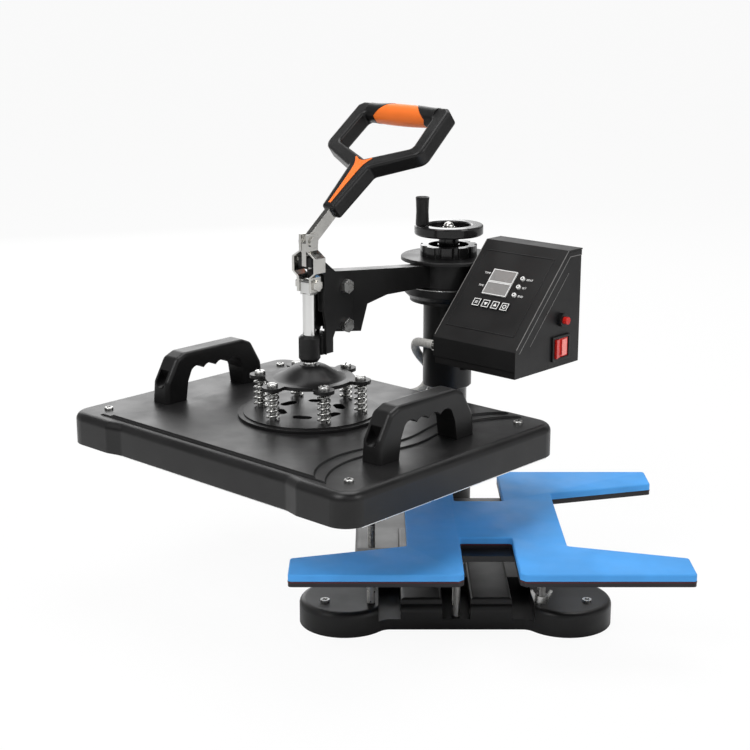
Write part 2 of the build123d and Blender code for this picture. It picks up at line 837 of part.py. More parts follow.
def make_cover(centre):
    """Drawn sheet cover, open below, with a raised waisted field and its screws."""
    outer = extrude(cover_outline(), cover_top - cover_bottom)
    outer = fillet(outer.edges().group_by(Axis.Z)[-1], cover_round)
    inner = extrude(cover_outline(cover_wall), cover_top - cover_bottom - cover_wall)
    inner = fillet(inner.edges().group_by(Axis.Z)[-1], cover_round - cover_wall)
    level = cover_top - cover_bottom
    low_field = Pos(0, 0, level - 0.5) * extrude(raised_field(-terrace_width), field_height / 2 + 0.5)
    low_field = chamfer(low_field.edges().group_by(Axis.Z)[-1], 1.2)
    field = Pos(0, 0, level - 0.5) * extrude(raised_field(), field_height + 0.5)
    field = chamfer(field.edges().group_by(Axis.Z)[-1], 1.2)
    pocket = extrude(raised_field(3 * cover_wall), level + field_height - cover_wall)
    shell = outer + low_field + field - inner - pocket
    shell = Pos(0, 0, cover_bottom) * shell
    lead_low = lead_inlet_height - lead_radius - float_travel - 0.4
    lead_high = lead_inlet_height + lead_radius + 0.4
    slot_tall = lead_high - lead_low + 2 * 1.5
    slot_wide = 2 * lead_radius + 0.8 + 2 * 1.5
    slot_place = Pos(lead_inlet_x, cover_half_depth - cover_wall / 2, (lead_low + lead_high) / 2) * Rot(90, 0, 0)
    shell -= slot_place * extrude(SlotOverall(slot_tall, slot_wide, rotation=90), 6, both=True)
    lip = extrude(SlotOverall(slot_tall + 4, slot_wide + 4, rotation=90), cover_wall / 2 + 1.5, both=True)
    web = extrude(SlotOverall(slot_tall, slot_wide, rotation=90), cover_wall / 2, both=True)
    groove = extrude(SlotOverall(slot_tall + 9, slot_wide + 9, rotation=90), cover_wall / 2, both=True) - web
    opening = extrude(SlotOverall(slot_tall - 3, slot_wide - 3, rotation=90), 9, both=True)
    parts["lead_grommet"] = head(centre * slot_place * (lip - groove - opening))
    screws = []
    for x in (-cover_screw_x, cover_screw_x):
        for y in (-cover_screw_y, cover_screw_y):
            shell -= disc(2.6, cover_top - 9, cover_top + 9, x, y)
            shank = disc(2.4, platen_bottom + platen_thickness, cover_top, x, y)
            cap = disc(4.6, cover_top, cover_top + 2.6, x, y)
            screws.append(shank + fillet(cap.edges().group_by(Axis.Z)[-1], 1.2))
    parts["heater_cover"] = head(centre * shell)
    parts["cover_screws"] = head(centre * group(screws))


def make_heater(centre):
    """Aluminium platen, bent heating element on it and the insulation above."""
    face = RectangleRounded(2 * platen_half_width, 2 * platen_half_depth, platen_corner)
    slab = Pos(0, 0, platen_bottom) * extrude(face, platen_thickness)
    slab = chamfer(slab.edges().group_by(Axis.Z)[0], 1.0)
    parts["heating_platen"] = head(centre * slab)
    level = platen_bottom + platen_thickness + element_radius
    step = 2 * element_half_depth / (element_bends - 1)
    points = []
    for i in range(element_bends):
        y = -element_half_depth + i * step
        side = 1 if i % 2 else -1
        points.append((side * element_half_width, y, level))
        points.append((-side * element_half_width, y, level))
    path = FilletPolyline(*points, radius=step * 0.4)
    section = Plane(origin=path @ 0, z_dir=path % 0) * Circle(element_radius)
    parts["heating_element"] = head(centre * sweep(section, path))
    low = platen_bottom + platen_thickness + 2 * element_radius
    blanket = box_span(
        (-element_half_width - 20, element_half_width + 20),
        (-element_half_depth - 20, element_half_depth + 20),
        (low, low + insulation_thickness),
    )
    parts["insulation_pad"] = head(centre * blanket)


def make_handles(centre):
    """Two carrying handles with finger bumps under the bar."""
    low = cover_top
    top = cover_top + handle_height
    half = handle_half_length
    under = top - handle_bar
    inner = half - handle_leg
    points = [(-half, low), (-half + 2, low + 22), (-half + 16, top - 6), (-half + 28, top - 1)]
    points += [(half - 28, top - 1), (half - 16, top - 6), (half - 2, low + 22), (half, low)]
    points += [(inner, low), (inner - 3, low + 20), (inner - 8, under - 4)]
    lines = [Polyline(*points)]
    left_end = (-inner + 8, under - 4)
    pitch = 2 * (inner - 8) / finger_bumps
    at = points[-1]
    for i in range(finger_bumps):
        end = (at[0] - pitch, under - 4)
        lines.append(ThreePointArc(at, (at[0] - pitch / 2, under), end))
        at = end
    lines.append(Polyline(at, left_end) if abs(at[0] - left_end[0]) > 1e-6 else None)
    lines = [line for line in lines if line is not None]
    lines.append(Polyline(at, (-inner + 3, low + 20), (-inner, low), points[0]))
    profile = make_face(lines)
    outside = [v for v in profile.vertices() if v.Y > low + 10 and abs(v.X) > inner - 2 and v.Y > under - 40]
    outside = [v for v in outside if abs(v.X) > inner + 3 or v.Y > under + 1]
    profile = fillet(outside, 9.0)
    bar = extrude(Plane.YZ * profile, handle_width / 2, both=True)
    rim = [e for e in bar.edges() if abs(e.center().X) > 0.4 * handle_width and is_outside(e, under, half)]
    bar = fillet(rim, 4.5)
    for end in (-1, 1):
        tilt = Pos(0, end * (half - 3), low + 31) * Rot(end * 68, 0, 0)
        bar -= tilt * extrude(SlotOverall(30.0, 13.0, rotation=90), 7, both=True)
    handles = []
    for side in (-1, 1):
        handles.append(Pos(side * handle_offset, -handle_centre_shift, 0) * bar)
    parts["press_handles"] = head(centre * group(handles))


def is_outside(edge, under, half):
    """True for an edge along the outer run of a handle, clear of its foot."""
    at = edge.center()
    return at.Z > under + 1 or (abs(at.Y) > half - 12 and at.Z > cover_top + 4)


def slope_place(across, down, rise=0.0):
    """Frame on the box's slope: X across, Y up the slope, Z out of it."""
    run = box_front - (box_back + box_flat_back)
    climb = box_top - box_nose
    length = math.hypot(run, climb)
    share = down / length
    forward = box_back + box_flat_back + run * share
    height = box_top - climb * share
    tilt = math.degrees(math.atan2(climb, run))
    return Pos(box_left + across, -forward, height) * Rot(tilt, 0, 0) * Pos(0, 0, rise)


def make_control_box():
    """Sheet-metal box, its sloped cover and all that is set in it."""
    flat_front = box_back + box_flat_back
    profile = [
        (box_back, box_bottom),
        (box_front, box_bottom),
        (box_front, box_nose),
        (flat_front, box_top),
        (box_back, box_top),
    ]
    block = plate(profile, box_left, box_right)
    skin = box_wall
    slope_inset = skin * 0.52
    hollow_profile = [
        (box_back + skin, box_bottom + skin),
        (box_front - skin, box_bottom + skin),
        (box_front - skin, box_nose - slope_inset),
        (flat_front - slope_inset, box_top - skin),
        (box_back + skin, box_top - skin),
    ]
    hollow = plate(hollow_profile, box_left + skin, box_right - skin)
    open_front = [
        (box_back + skin, box_bottom + skin + 6),
        (box_front + 20, box_bottom + skin + 6),
        (box_front + 20, box_top + 20),
        (box_back + skin, box_top + 20),
    ]
    cut = plate(open_front, box_left + skin, box_right - skin)
    body = block - hollow - cut
    holder_hole = cross_pin(holder_radius - 2, box_right - 4, box_right + 9, -rocker_forward, reset_height)
    rocker_hole = box_span(
        (box_right - 4, box_right + 4),
        (-rocker_forward - rocker_length / 2 - 1, -rocker_forward + rocker_length / 2 + 1),
        (rocker_height - rocker_tall / 2 - 1, rocker_height + rocker_tall / 2 + 1),
    )
    lead_hole = cross_pin(lead_radius + 0.4, box_left - 4, box_left + 4, -gland_forward, gland_height)
    parts["box_body"] = head(body - holder_hole - rocker_hole - lead_hole)
    outer = [
        (box_front, box_bottom + skin + 6 + air),
        (box_front + skin, box_bottom + skin + 6 + air),
        (box_front + skin, box_nose + 0.4),
        (flat_front + 0.6, box_top + skin),
        (box_back, box_top + skin),
        (box_back, box_top),
        (flat_front, box_top),
        (box_front, box_nose),
    ]
    cover = plate(outer, box_left - box_overhang, box_right + box_overhang)
    keys, windows, lights = [], [], []
    for i in range(key_count):
        keys.append(slope_place(29.6 + i * key_pitch, 77.5))
    for down in (42.5, 58.3):
        windows.append(slope_place(45.0, down))
    for down in (41.5, 51.8, 62.0):
        lights.append(slope_place(70.2, down))
    solids = []
    for place in windows:
        cover -= place * Box(window_width, window_height, 12)
        solids.append(place * Pos(0, 0, skin / 2) * Box(window_width, window_height, skin + 2 * window_rise))
    parts["display_windows"] = head(group(solids))
    solids = []
    for place in lights:
        cover -= place * Cylinder(led_radius, 12)
        solids.append(place * Pos(0, 0, skin) * Cylinder(led_radius, 2 * skin + 1.6))
    parts["indicator_lights"] = head(group(solids))
    for i, place in enumerate(keys):
        cover -= place * Box(key_size + 0.6, key_size + 0.6, 12)
        low = -key_travel - 1.6
        high = skin + key_rise
        cap = place * Pos(0, 0, (low + high) / 2) * Box(key_size, key_size, high - low)
        parts[f"panel_key_{i + 1}"] = head(cap)
    parts["box_cover"] = head(cover)
    board_depth = key_travel + 1.6 + key_travel + 0.3
    board = slope_place(48.0, 60.0, -board_depth - 0.8 - air) * Box(74, 62, 1.6)
    posts = []
    for place in windows:
        tall = board_depth + air - window_rise
        posts.append(place * Pos(0, 0, -window_rise - tall / 2) * Box(window_width - 2, window_height - 2, tall))
    relay = box_span((70.0, 128.0), (-40.0, -8.0), (box_bottom + skin, box_bottom + skin + 24))
    blocks = [board] + posts + [relay]
    parts["control_board"] = head(group(blocks))
    make_switches(skin)
    bracket_low = hub_bottom + lower_flange_thickness
    bracket = box_span((hub_radius - 8, box_left), (-16.0, 16.0), (bracket_low, 316.0)) - disc(hub_radius, 0, 400)
    parts["box_bracket"] = head(bracket)
    gland = cross_pin(gland_radius, box_left - 3, box_left, -gland_forward, gland_height)
    gland += Pos(box_left, -gland_forward, gland_height) * Rot(0, -90, 0) * hexagon(13.0, 3, 7)
    gland += cross_pin(gland_radius - 1.5, box_left - gland_length, box_left - 7, -gland_forward, gland_height)
    gland -= cross_pin(lead_radius + running_fit, 0, 90, -gland_forward, gland_height)
    parts["lead_gland"] = head(gland)


def make_switches(skin):
    """Rocker switch with its bezel, and the red reset button with its holder."""
    y = -rocker_forward
    outer = box_span(
        (box_right, box_right + bezel_rise),
        (y - bezel_length / 2, y + bezel_length / 2),
        (rocker_height - bezel_tall / 2, rocker_height + bezel_tall / 2),
    )
    body = box_span(
        (box_right - 14, box_right),
        (y - rocker_length / 2 - 0.9, y + rocker_length / 2 + 0.9),
        (rocker_height - rocker_tall / 2 - 0.9, rocker_height + rocker_tall / 2 + 0.9),
    )
    well = box_span(
        (box_right - 12, box_right + 9),
        (y - rocker_length / 2 - 0.4, y + rocker_length / 2 + 0.4),
        (rocker_height - rocker_tall / 2 - 0.3, rocker_height + rocker_tall / 2 + 0.3),
    )
    axle = Pos(box_right, y, rocker_height) * Cylinder(rocker_pin_radius + running_fit, rocker_tall + 2.2)
    parts["rocker_bezel"] = head(outer + body - well - axle)
    half = rocker_length / 2 - 1.0
    points = [(2.8, half), (1.2, 0), (2.8, -half), (-6, 1 - half), (-8, 0), (-6, half - 1)]
    face = make_face(Polyline(*points, close=True))
    rocker = Pos(0, 0, -rocker_tall / 2) * extrude(face, rocker_tall)
    rocker += Cylinder(rocker_pin_radius, rocker_tall + 1.6)
    rocker = Pos(box_right, y, rocker_height) * Rot(0, 0, rocker_tilt) * rocker
    parts["rocker_switch"] = head(rocker)
    end = box_right + holder_length
    holder = cross_pin(holder_radius, box_right, end, y, reset_height)
    holder += cross_pin(holder_radius - 2.2, box_right - 12, box_right, y, reset_height)
    holder -= cross_pin(reset_radius + running_fit, box_right - 9, end + 1, y, reset_height)
    parts["reset_holder"] = head(holder)
    button = cross_pin(reset_radius, box_right - 9 + reset_travel + 0.5, end + reset_rise, y, reset_height)
    parts["reset_button"] = head(button)


def make_lead():
    """Sleeved heater lead from the gland round the sleeve to the cover's back wall."""
    y_in = -arm_reach + cover_half_depth
    points = [
        (box_left + 3, -gland_forward, gland_height),
        (22.0, -gland_forward, gland_height),
        (-11.0, -42.0, 237.0),
        (-35.0, -14.0, 217.0),
        (-37.0, 17.0, 190.0),
        (-44.0, 10.0, 163.0),
        (lead_inlet_x, -18.0, 163.0),
        (lead_inlet_x, -42.0, lead_inlet_height),
        (lead_inlet_x, y_in - 5, lead_inlet_height),
    ]
    radii = []
    vectors = [Vector(*p) for p in points]
    for before, at, after in zip(vectors, vectors[1:], vectors[2:]):
        one, two = at - before, after - at
        turn = math.radians(one.get_angle(two))
        radii.append(0.45 * min(one.length, two.length) / math.tan(turn / 2))
    print("lead radii", [round(r, 1) for r in radii])
    path = FilletPolyline(*points, radius=radii)
    section = Plane(origin=path @ 0, z_dir=path % 0) * Circle(lead_radius)
    tube = sweep(section, path)
    ideal = math.pi * lead_radius**2 * path.length
    print(f"lead: length {path.length:.0f} mm, volume ratio {tube.volume / ideal:.4f}")
    parts["heater_lead"] = head(tube)


def make_adjuster():
    """Spindle, thrust collar, handwheel with its knob, dome nut and lock ring."""
    cap_low = hub_top
    cap_top = hub_top + hub_cap_thickness - 2 + upper_disc_thickness
    collar_low = cap_low - collar_thickness
    collar = ring(spindle_flange_radius + 1, spindle_radius + running_fit, collar_low, cap_low)
    flange_low = collar_low - spindle_flange_thickness
    wheel_top = wheel_bottom + wheel_web
    spindle = disc(spindle_radius, flange_low - spindle_length_below, wheel_bottom)
    spindle += disc(spindle_flange_radius, flange_low, collar_low)
    spindle += disc(spindle_tip_radius, wheel_bottom, wheel_top + 6)
    parts["thrust_collar"] = head(collar)
    parts["lift_spindle"] = head(spindle)
    rim = ring(wheel_radius, wheel_opening, wheel_bottom, wheel_bottom + wheel_rim_height)
    rim = fillet(rim.edges().group_by(Axis.Z)[-1] + rim.edges().group_by(Axis.Z)[0], 2.0)
    web = ring(wheel_opening + 1, spindle_tip_radius, wheel_bottom, wheel_top)
    boss_low = cap_top + lock_ring_height + air
    boss = ring(wheel_hub_radius, spindle_radius, boss_low, wheel_bottom)
    knob_turn = math.radians(knob_angle)
    knob_x, knob_y = knob_offset * math.cos(knob_turn), knob_offset * math.sin(knob_turn)
    wheel = rim + web + boss
    knob_low = wheel_bottom + wheel_rim_height
    wheel -= disc(knob_pin_radius, wheel_bottom + 3, knob_low + 1, knob_x, knob_y)
    pin = disc(knob_pin_radius, wheel_bottom + 3, knob_low + knob_height - 3, knob_x, knob_y)
    parts["handwheel"] = head(wheel)
    parts["knob_pin"] = head(pin)
    knob = disc(knob_radius, knob_low + air, knob_low + knob_height, knob_x, knob_y)
    knob = fillet(knob.edges().group_by(Axis.Z)[-1], 2.0)
    knob -= disc(knob_pin_radius + running_fit, 0, knob_low + knob_height - 3 + air, knob_x, knob_y)
    parts["crank_knob"] = head(knob)
    nut = hexagon(dome_nut_across_flats, wheel_top, wheel_top + 4)
    nut += Pos(0, 0, wheel_top + 4) * (Sphere(dome_nut_radius) & box_span((-9, 9), (-9, 9), (0, 9)))
    nut -= disc(spindle_tip_radius, wheel_top - 1, wheel_top + 6)
    parts["dome_nut"] = head(nut)
    star = Circle(lock_ring_radius)
    for i in range(lock_ring_lobes):
        turn = Rot(0, 0, 360.0 * i / lock_ring_lobes) * Pos(lock_ring_radius + 1.5, 0)
        star -= turn * Circle(4.5)
    body = Pos(0, 0, cap_top) * extrude(star, lock_ring_height)
    body -= disc(lock_ring_radius - 9, cap_top + 4, cap_top + 20)
    body += disc(wheel_hub_radius + 1, cap_top, cap_top + lock_ring_height)
    body -= disc(spindle_radius + running_fit, 0, 400)
    parts["lock_ring"] = head(body)


def main():
    """Build every piece and write one file for each."""
    parts["base_shell"] = make_base()
    make_feet()
    make_column()
    make_board()
    make_arm()
    make_clamp()
    make_links()
    make_lever()
    make_plunger()
    make_platen_head()
    make_control_box()
    make_lead()
    make_adjuster()
    os.makedirs("parts", exist_ok=True)
    for name, shape in parts.items():
        export_step(shape, f"parts/{name}.step")
    print(len(parts), "parts")


main()
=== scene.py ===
"""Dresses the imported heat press: stage, finishes, soft pieces and trim, in metres in the frame of the part."""

import math

import bmesh
import bpy
from mathutils import Matrix, Vector


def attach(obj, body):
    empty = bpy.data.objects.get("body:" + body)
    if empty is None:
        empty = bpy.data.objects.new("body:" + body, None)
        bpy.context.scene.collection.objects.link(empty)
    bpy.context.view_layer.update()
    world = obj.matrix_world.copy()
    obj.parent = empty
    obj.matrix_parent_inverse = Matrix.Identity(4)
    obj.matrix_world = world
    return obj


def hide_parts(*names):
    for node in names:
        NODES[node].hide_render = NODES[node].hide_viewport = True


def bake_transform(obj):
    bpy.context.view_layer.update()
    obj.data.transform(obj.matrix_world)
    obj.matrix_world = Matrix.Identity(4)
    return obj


bl_info = {
    "name": "Swing-away heat press",
    "version": (1, 0, 0),
    "blender": (4, 5, 0),
    "location": "3D View > Sidebar > Press",
    "description": "Finishes, soft pieces and trim of a shoe heat press",
    "category": "Object",
}

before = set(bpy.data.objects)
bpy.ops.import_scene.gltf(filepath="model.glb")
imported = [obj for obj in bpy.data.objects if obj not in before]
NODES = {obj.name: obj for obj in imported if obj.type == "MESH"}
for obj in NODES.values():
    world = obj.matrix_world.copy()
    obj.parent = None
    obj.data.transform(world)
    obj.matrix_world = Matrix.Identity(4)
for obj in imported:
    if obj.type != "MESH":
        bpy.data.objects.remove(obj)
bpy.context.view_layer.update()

# Sizes are in millimetres unless a name says otherwise; degrees for every angle
MM = 0.001
COLUMN_Y = 111.0
SWING = -42.6
ARM_REACH = 216.0
RIVET_HEIGHT = 371.5
LEVER_LEAN = 51.5

# Control box: its side walls, and the slope that carries the panel
BOX_LEFT = 52.0
BOX_RIGHT = 157.0
SLOPE_FRONT = 82.0
SLOPE_BACK = -4.0
SLOPE_TOP = 351.0
SLOPE_NOSE = 260.0
SLOPE_LENGTH = math.hypot(SLOPE_FRONT - SLOPE_BACK, SLOPE_TOP - SLOPE_NOSE)
SLOPE_TILT = math.degrees(math.atan2(SLOPE_TOP - SLOPE_NOSE, SLOPE_FRONT - SLOPE_BACK))

# Control panel: places across the slope and down it
SKIN = 1.5
KEY_ACROSS = [29.6 + 12.2 * i for i in range(4)]
KEY_DOWN = 77.5
KEY_FACE = 2.8
PRINT_FACE = 3.0
WINDOW_ACROSS = 45.0
WINDOW_DOWN = (42.5, 58.3)
LED_ACROSS = 70.2
LED_DOWN = (41.5, 51.8, 62.0)
LAMP_RING = ((1.1, 3.82), (1.1, 4.0), (2.1, 4.0), (2.35, 3.7), (2.35, 1.5), (1.83, 1.5), (1.83, 3.82))
WINDOW_WORDS = (("TEMP", 40.5), ("TIME", 56.3))
LAMP_WORDS = (("HEAT", 41.5), ("SET", 51.8), ("END", 62.0))
WORD_SHARE = 0.62

# Side wall of the box: lip of the cover, as places forward of the hub and up
LIP_OUTER = ((-26.5, 350.6), (-4.2, 350.6), (81.6, 260.0))
LIP_INNER = ((-26.5, 345.2), (-6.4, 345.2), (76.0, 257.6))
# Lighter strip along the lip, a painted highlight on the cover's edge
LIP_HIGHLIGHT = ((-26.5, 346.0), (-6.0, 346.0), (76.8, 258.0))

# Lever: Y inlay of the neck (half width, distance from the rivet), grip and collars
INLAY_SIDE = ((1.6, 46.0), (3.0, 73.0), (4.5, 92.0), (5.8, 100.0), (8.4, 105.5), (11.6, 110.0), (10.6, 111.3))
INLAY_FORK = ((5.0, 107.6), (0.0, 106.6), (-5.0, 107.6))
INLAY_FACES = ((8.7, 9.4), (-9.4, -8.7))
GRIP_ALONG = 182.5
GRIP_HALF = 38.0
GRIP_CORE = 6.3
COLLAR_END = 46.6
COLLAR_RISE = 0.35
COLLAR_WALL = 0.9

# Head, crank knob and base
SPRING_CIRCLE = 52.5
SPRING_COUNT = 6
COVER_SCREWS = ((-171.0, -123.0), (-171.0, 123.0), (171.0, -123.0), (171.0, 123.0))
FOOT_SCREWS = ((-130.0, -132.0), (130.0, -132.0), (-76.0, 138.0), (76.0, 138.0))
PLATEN_EDGE = (198.3, 0.0, 159.1)
BOARD_CENTRE = (28.6, -72.5)
EDGE_PROUD = 0.35
EDGE_LINE = (0.5, 1.5)
KNOB_PLACE = (-29.17, 102.08, 0.0)
KNOB_PROFILE = (
    (3.15, 363.4), (7.0, 363.4), (7.3, 365.0), (6.7, 378.0), (7.1, 390.0), (7.45, 393.0), (7.2, 394.0),
    (6.4, 393.6), (4.5, 392.4), (0.02, 391.9), (0.02, 391.3), (3.15, 391.3),
)
# Ring of bright metal on the edge of the arm's lower flange, a painted highlight
FLANGE_HIGHLIGHT = ((47.2, 298.06), (48.08, 297.9), (48.1, 297.2), (47.4, 297.3))

# Heater lead, from the gland to the grommet, in the swung head's millimetres
LEAD_ROUTE = (
    (55.0, -70.0, 247.0), (22.0, -70.0, 247.0), (-11.0, -42.0, 237.0), (-35.0, -14.0, 217.0),
    (-37.0, 17.0, 190.0), (-44.0, 10.0, 163.0), (-60.0, -18.0, 163.0), (-60.0, -42.0, 177.0),
    (-60.0, -66.0, 177.0),
)

# Stage, in metres and watts
FLOOR_HALF = 60.0
CAMERA_PLACE = (-0.0804, -1.5618, 0.638)
CAMERA_TILT = 75.1
SENSOR = 36.0
CLIP_END = 300.0
FLOOR_SHARE_SEEN_WHITE = 0.93
SOFT_LIGHT = 0.34
LIGHT_AIM = (0.0, 0.0, 0.15)
LAMPS = (
    ("key_lamp", (-1.1, -1.3, 1.9), 1.1, 24.0),
    ("fill_lamp", (1.5, -1.0, 1.3), 0.9, 9.0),
    ("top_lamp", (0.1, 0.5, 2.2), 1.4, 26.0),
    ("back_lamp", (-0.6, 1.9, 0.9), 1.6, 14.0),
)


def shift(x, y, z):
    return Matrix.Translation((x, y, z))


def turn(degrees, axis):
    return Matrix.Rotation(math.radians(degrees), 4, axis)


# Places in millimetres of the base, the swung head, its platen and the lever, turned into metres of the frame
ROW = Matrix.Scale(MM, 4)
HEAD = ROW @ shift(0, COLUMN_Y, 0) @ turn(SWING, "Z")
PLATEN = HEAD @ shift(0, -ARM_REACH, 0)
LEVER = HEAD @ shift(0, -ARM_REACH, RIVET_HEIGHT) @ turn(90 - LEVER_LEAN, "X")


def on_slope(across, down, rise=0.0):
    """Place on the control panel: X to the user's right, Y up the slope, Z out of it."""
    share = down / SLOPE_LENGTH
    forward = SLOPE_BACK + (SLOPE_FRONT - SLOPE_BACK) * share
    height = SLOPE_TOP - (SLOPE_TOP - SLOPE_NOSE) * share
    return HEAD @ shift(BOX_LEFT + across, -forward, height) @ turn(SLOPE_TILT, "X") @ shift(0, 0, rise)


def on_side(forward, height):
    """Place on the box's right-hand wall: X forward, Y up, Z into it."""
    return HEAD @ shift(BOX_RIGHT, -forward, height) @ turn(-90, "Z") @ turn(90, "X")


# Shapes: each adds to a bmesh in millimetres under a matrix


def outlined(bm, points, low, high, place=Matrix.Identity(4)):
    """Upright prism over an outline of corner points."""
    corners = [bm.verts.new((x, y, low)) for x, y in points]
    face = bm.faces.new(corners)
    grown = bmesh.ops.extrude_face_region(bm, geom=[face])["geom"]
    raised = [g for g in grown if isinstance(g, bmesh.types.BMVert)]
    bmesh.ops.translate(bm, verts=raised, vec=(0, 0, high - low))
    bmesh.ops.transform(bm, matrix=place, verts=corners + raised)
    return corners + raised


def block(bm, size, place):
    return bmesh.ops.create_cube(bm, size=1.0, matrix=place @ Matrix.Diagonal((*size, 1.0)))["verts"]


def drum(bm, radius, low, high, place=Matrix.Identity(4), steps=40, top=None):
    """Upright round bar, or a taper where its top radius is given."""
    made = bmesh.ops.create_cone(
        bm, cap_ends=True, segments=steps, radius1=radius, radius2=radius if top is None else top,
        depth=high - low, matrix=place @ shift(0, 0, (low + high) / 2),
    )
    return made["verts"]


def turned(bm, profile, place=Matrix.Identity(4), steps=48):
    """Closed ring of a profile of (radius, height) points."""
    corners = [bm.verts.new((r, 0, z)) for r, z in profile]
    edges = [bm.edges.new((a, b)) for a, b in zip(corners, corners[1:] + corners[:1])]
    before = set(bm.verts) - set(corners)
    full = 2 * math.pi
    bmesh.ops.spin(
        bm, geom=corners + edges, axis=(0, 0, 1), cent=(0, 0, 0), angle=full, steps=steps, use_merge=True
    )
    made = [v for v in bm.verts if v not in before]
    bmesh.ops.transform(bm, matrix=place, verts=made)
    return made


def picture_frame(bm, width, height, border, low, high, place):
    """Flat rectangular ring, as four bars."""
    w, h, b = width / 2, height / 2, border / 2
    rise = (low + high) / 2
    for y in (-h, h):
        block(bm, (width + border, border, high - low), place @ shift(0, y, rise))
    for x in (-w, w):
        block(bm, (border, height - border, high - low), place @ shift(x, 0, rise))


def soften(bm, amount, segments=2, edges=None):
    chosen = [e for e in (edges or bm.edges) if len(e.link_faces) == 2 and e.calc_face_angle(0) > 0.5]
    bmesh.ops.bevel(
        bm, geom=chosen, offset=amount, affect="EDGES", segments=segments, profile=0.5, material=-1,
        clamp_overlap=True,
    )


def settle(name, bm, material, body, smooth=True, normals=True):
    """Turns a bmesh into a finished piece that rides on a body."""
    if normals:
        bmesh.ops.recalc_face_normals(bm, faces=bm.faces)
    mesh = bpy.data.meshes.new(name)
    bm.to_mesh(mesh)
    bm.free()
    if not mesh.polygons:
        raise RuntimeError(f"{name} has no faces")
    mesh.materials.append(finish_of(material))
    if smooth:
        mesh.shade_smooth()
        mesh.set_sharp_from_angle(angle=math.radians(35))
    piece = bpy.data.objects.new(name, mesh)
    bpy.context.scene.collection.objects.link(piece)
    if body:
        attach(piece, body)
    return piece


def copy_of_node(name):
    """Merged copy of a CAD node's mesh."""
    bm = bmesh.new()
    bm.from_mesh(NODES[name].data)
    bmesh.ops.remove_doubles(bm, verts=bm.verts, dist=1e-6)
    return bm


def top_of(name):
    """Height of a CAD node's highest point, in millimetres."""
    return max(v.co.z for v in NODES[name].data.vertices) / MM


# Finishes


def nodes_of(name):
    material = bpy.data.materials.new(name)
    material.use_nodes = True
    tree = material.node_tree
    return material, tree, tree.nodes["Principled BSDF"]


def position(tree, stretch=(1.0, 1.0, 1.0)):
    """Object coordinates through a Mapping node."""
    coordinates = tree.nodes.new("ShaderNodeTexCoord")
    mapping = tree.nodes.new("ShaderNodeMapping")
    mapping.inputs["Scale"].default_value = stretch
    tree.links.new(coordinates.outputs["Object"], mapping.inputs["Vector"])
    return mapping.outputs["Vector"]


def noise(tree, scale, detail=2.0, stretch=(1.0, 1.0, 1.0)):
    texture = tree.nodes.new("ShaderNodeTexNoise")
    texture.inputs["Scale"].default_value = scale
    texture.inputs["Detail"].default_value = detail
    tree.links.new(position(tree, stretch), texture.inputs["Vector"])
    return texture.outputs["Fac"]


def mottle(tree, shader, colour, other, scale, stretch=(1.0, 1.0, 1.0)):
    """Base colour that drifts between two tones."""
    mix = tree.nodes.new("ShaderNodeMix")
    mix.data_type = "RGBA"
    mix.inputs["A"].default_value = (*colour, 1)
    mix.inputs["B"].default_value = (*other, 1)
    spread = tree.nodes.new("ShaderNodeMapRange")
    spread.inputs["From Min"].default_value = 0.35
    spread.inputs["From Max"].default_value = 0.65
    tree.links.new(noise(tree, scale, 3.0, stretch), spread.inputs["Value"])
    tree.links.new(spread.outputs["Result"], mix.inputs["Factor"])
    tree.links.new(mix.outputs["Result"], shader.inputs["Base Color"])


def worn_gloss(tree, shader, low, high, scale):
    """Roughness that drifts between two values."""
    spread = tree.nodes.new("ShaderNodeMapRange")
    spread.inputs["From Min"].default_value = 0.3
    spread.inputs["From Max"].default_value = 0.7
    spread.inputs["To Min"].default_value = low
    spread.inputs["To Max"].default_value = high
    tree.links.new(noise(tree, scale, 4.0), spread.inputs["Value"])
    tree.links.new(spread.outputs["Result"], shader.inputs["Roughness"])


def relief(tree, shader, height, strength, distance, edge=0.0):
    """Bump from a height, over edges that are rounded in the shading."""
    bump = tree.nodes.new("ShaderNodeBump")
    bump.inputs["Strength"].default_value = strength
    bump.inputs["Distance"].default_value = distance
    tree.links.new(height, bump.inputs["Height"])
    if edge:
        rounding = tree.nodes.new("ShaderNodeBevel")
        rounding.samples = 4
        rounding.inputs["Radius"].default_value = edge
        tree.links.new(rounding.outputs["Normal"], bump.inputs["Normal"])
    tree.links.new(bump.outputs["Normal"], shader.inputs["Normal"])


def bands(tree, pitch, direction="Z"):
    """Even waves along one axis, such as a thread."""
    wave = tree.nodes.new("ShaderNodeTexWave")
    wave.wave_type = "BANDS"
    wave.bands_direction = direction
    wave.inputs["Scale"].default_value = 2 * math.pi / (pitch * 20.0)
    tree.links.new(position(tree), wave.inputs["Vector"])
    return wave.outputs["Fac"]


def painted(name, colour, rough, grain=700.0, strength=0.12, edge=0.0006, coat=0.0):
    material, tree, shader = nodes_of(name)
    shader.inputs["Roughness"].default_value = rough
    shader.inputs["Coat Weight"].default_value = coat
    shader.inputs["Specular IOR Level"].default_value = 0.32
    mottle(tree, shader, colour, tuple(min(1.0, c * 1.2 + 0.001) for c in colour), 14.0)
    worn_gloss(tree, shader, rough * 0.85, min(1.0, rough * 1.2), 30.0)
    relief(tree, shader, noise(tree, grain, 2.0), strength, 0.0002, edge)
    return material


def plated(name, colour, rough, streak=(1.0, 1.0, 1.0), thread=0.0, edge=0.0004):
    material, tree, shader = nodes_of(name)
    shader.inputs["Metallic"].default_value = 1.0
    mottle(tree, shader, colour, tuple(c * 0.86 for c in colour), 60.0, streak)
    worn_gloss(tree, shader, rough * 0.8, rough * 1.35, 120.0)
    height = bands(tree, thread) if thread else noise(tree, 500.0, 3.0, streak)
    relief(tree, shader, height, 0.9 if thread else 0.06, 0.0005 if thread else 0.0002, edge)
    return material


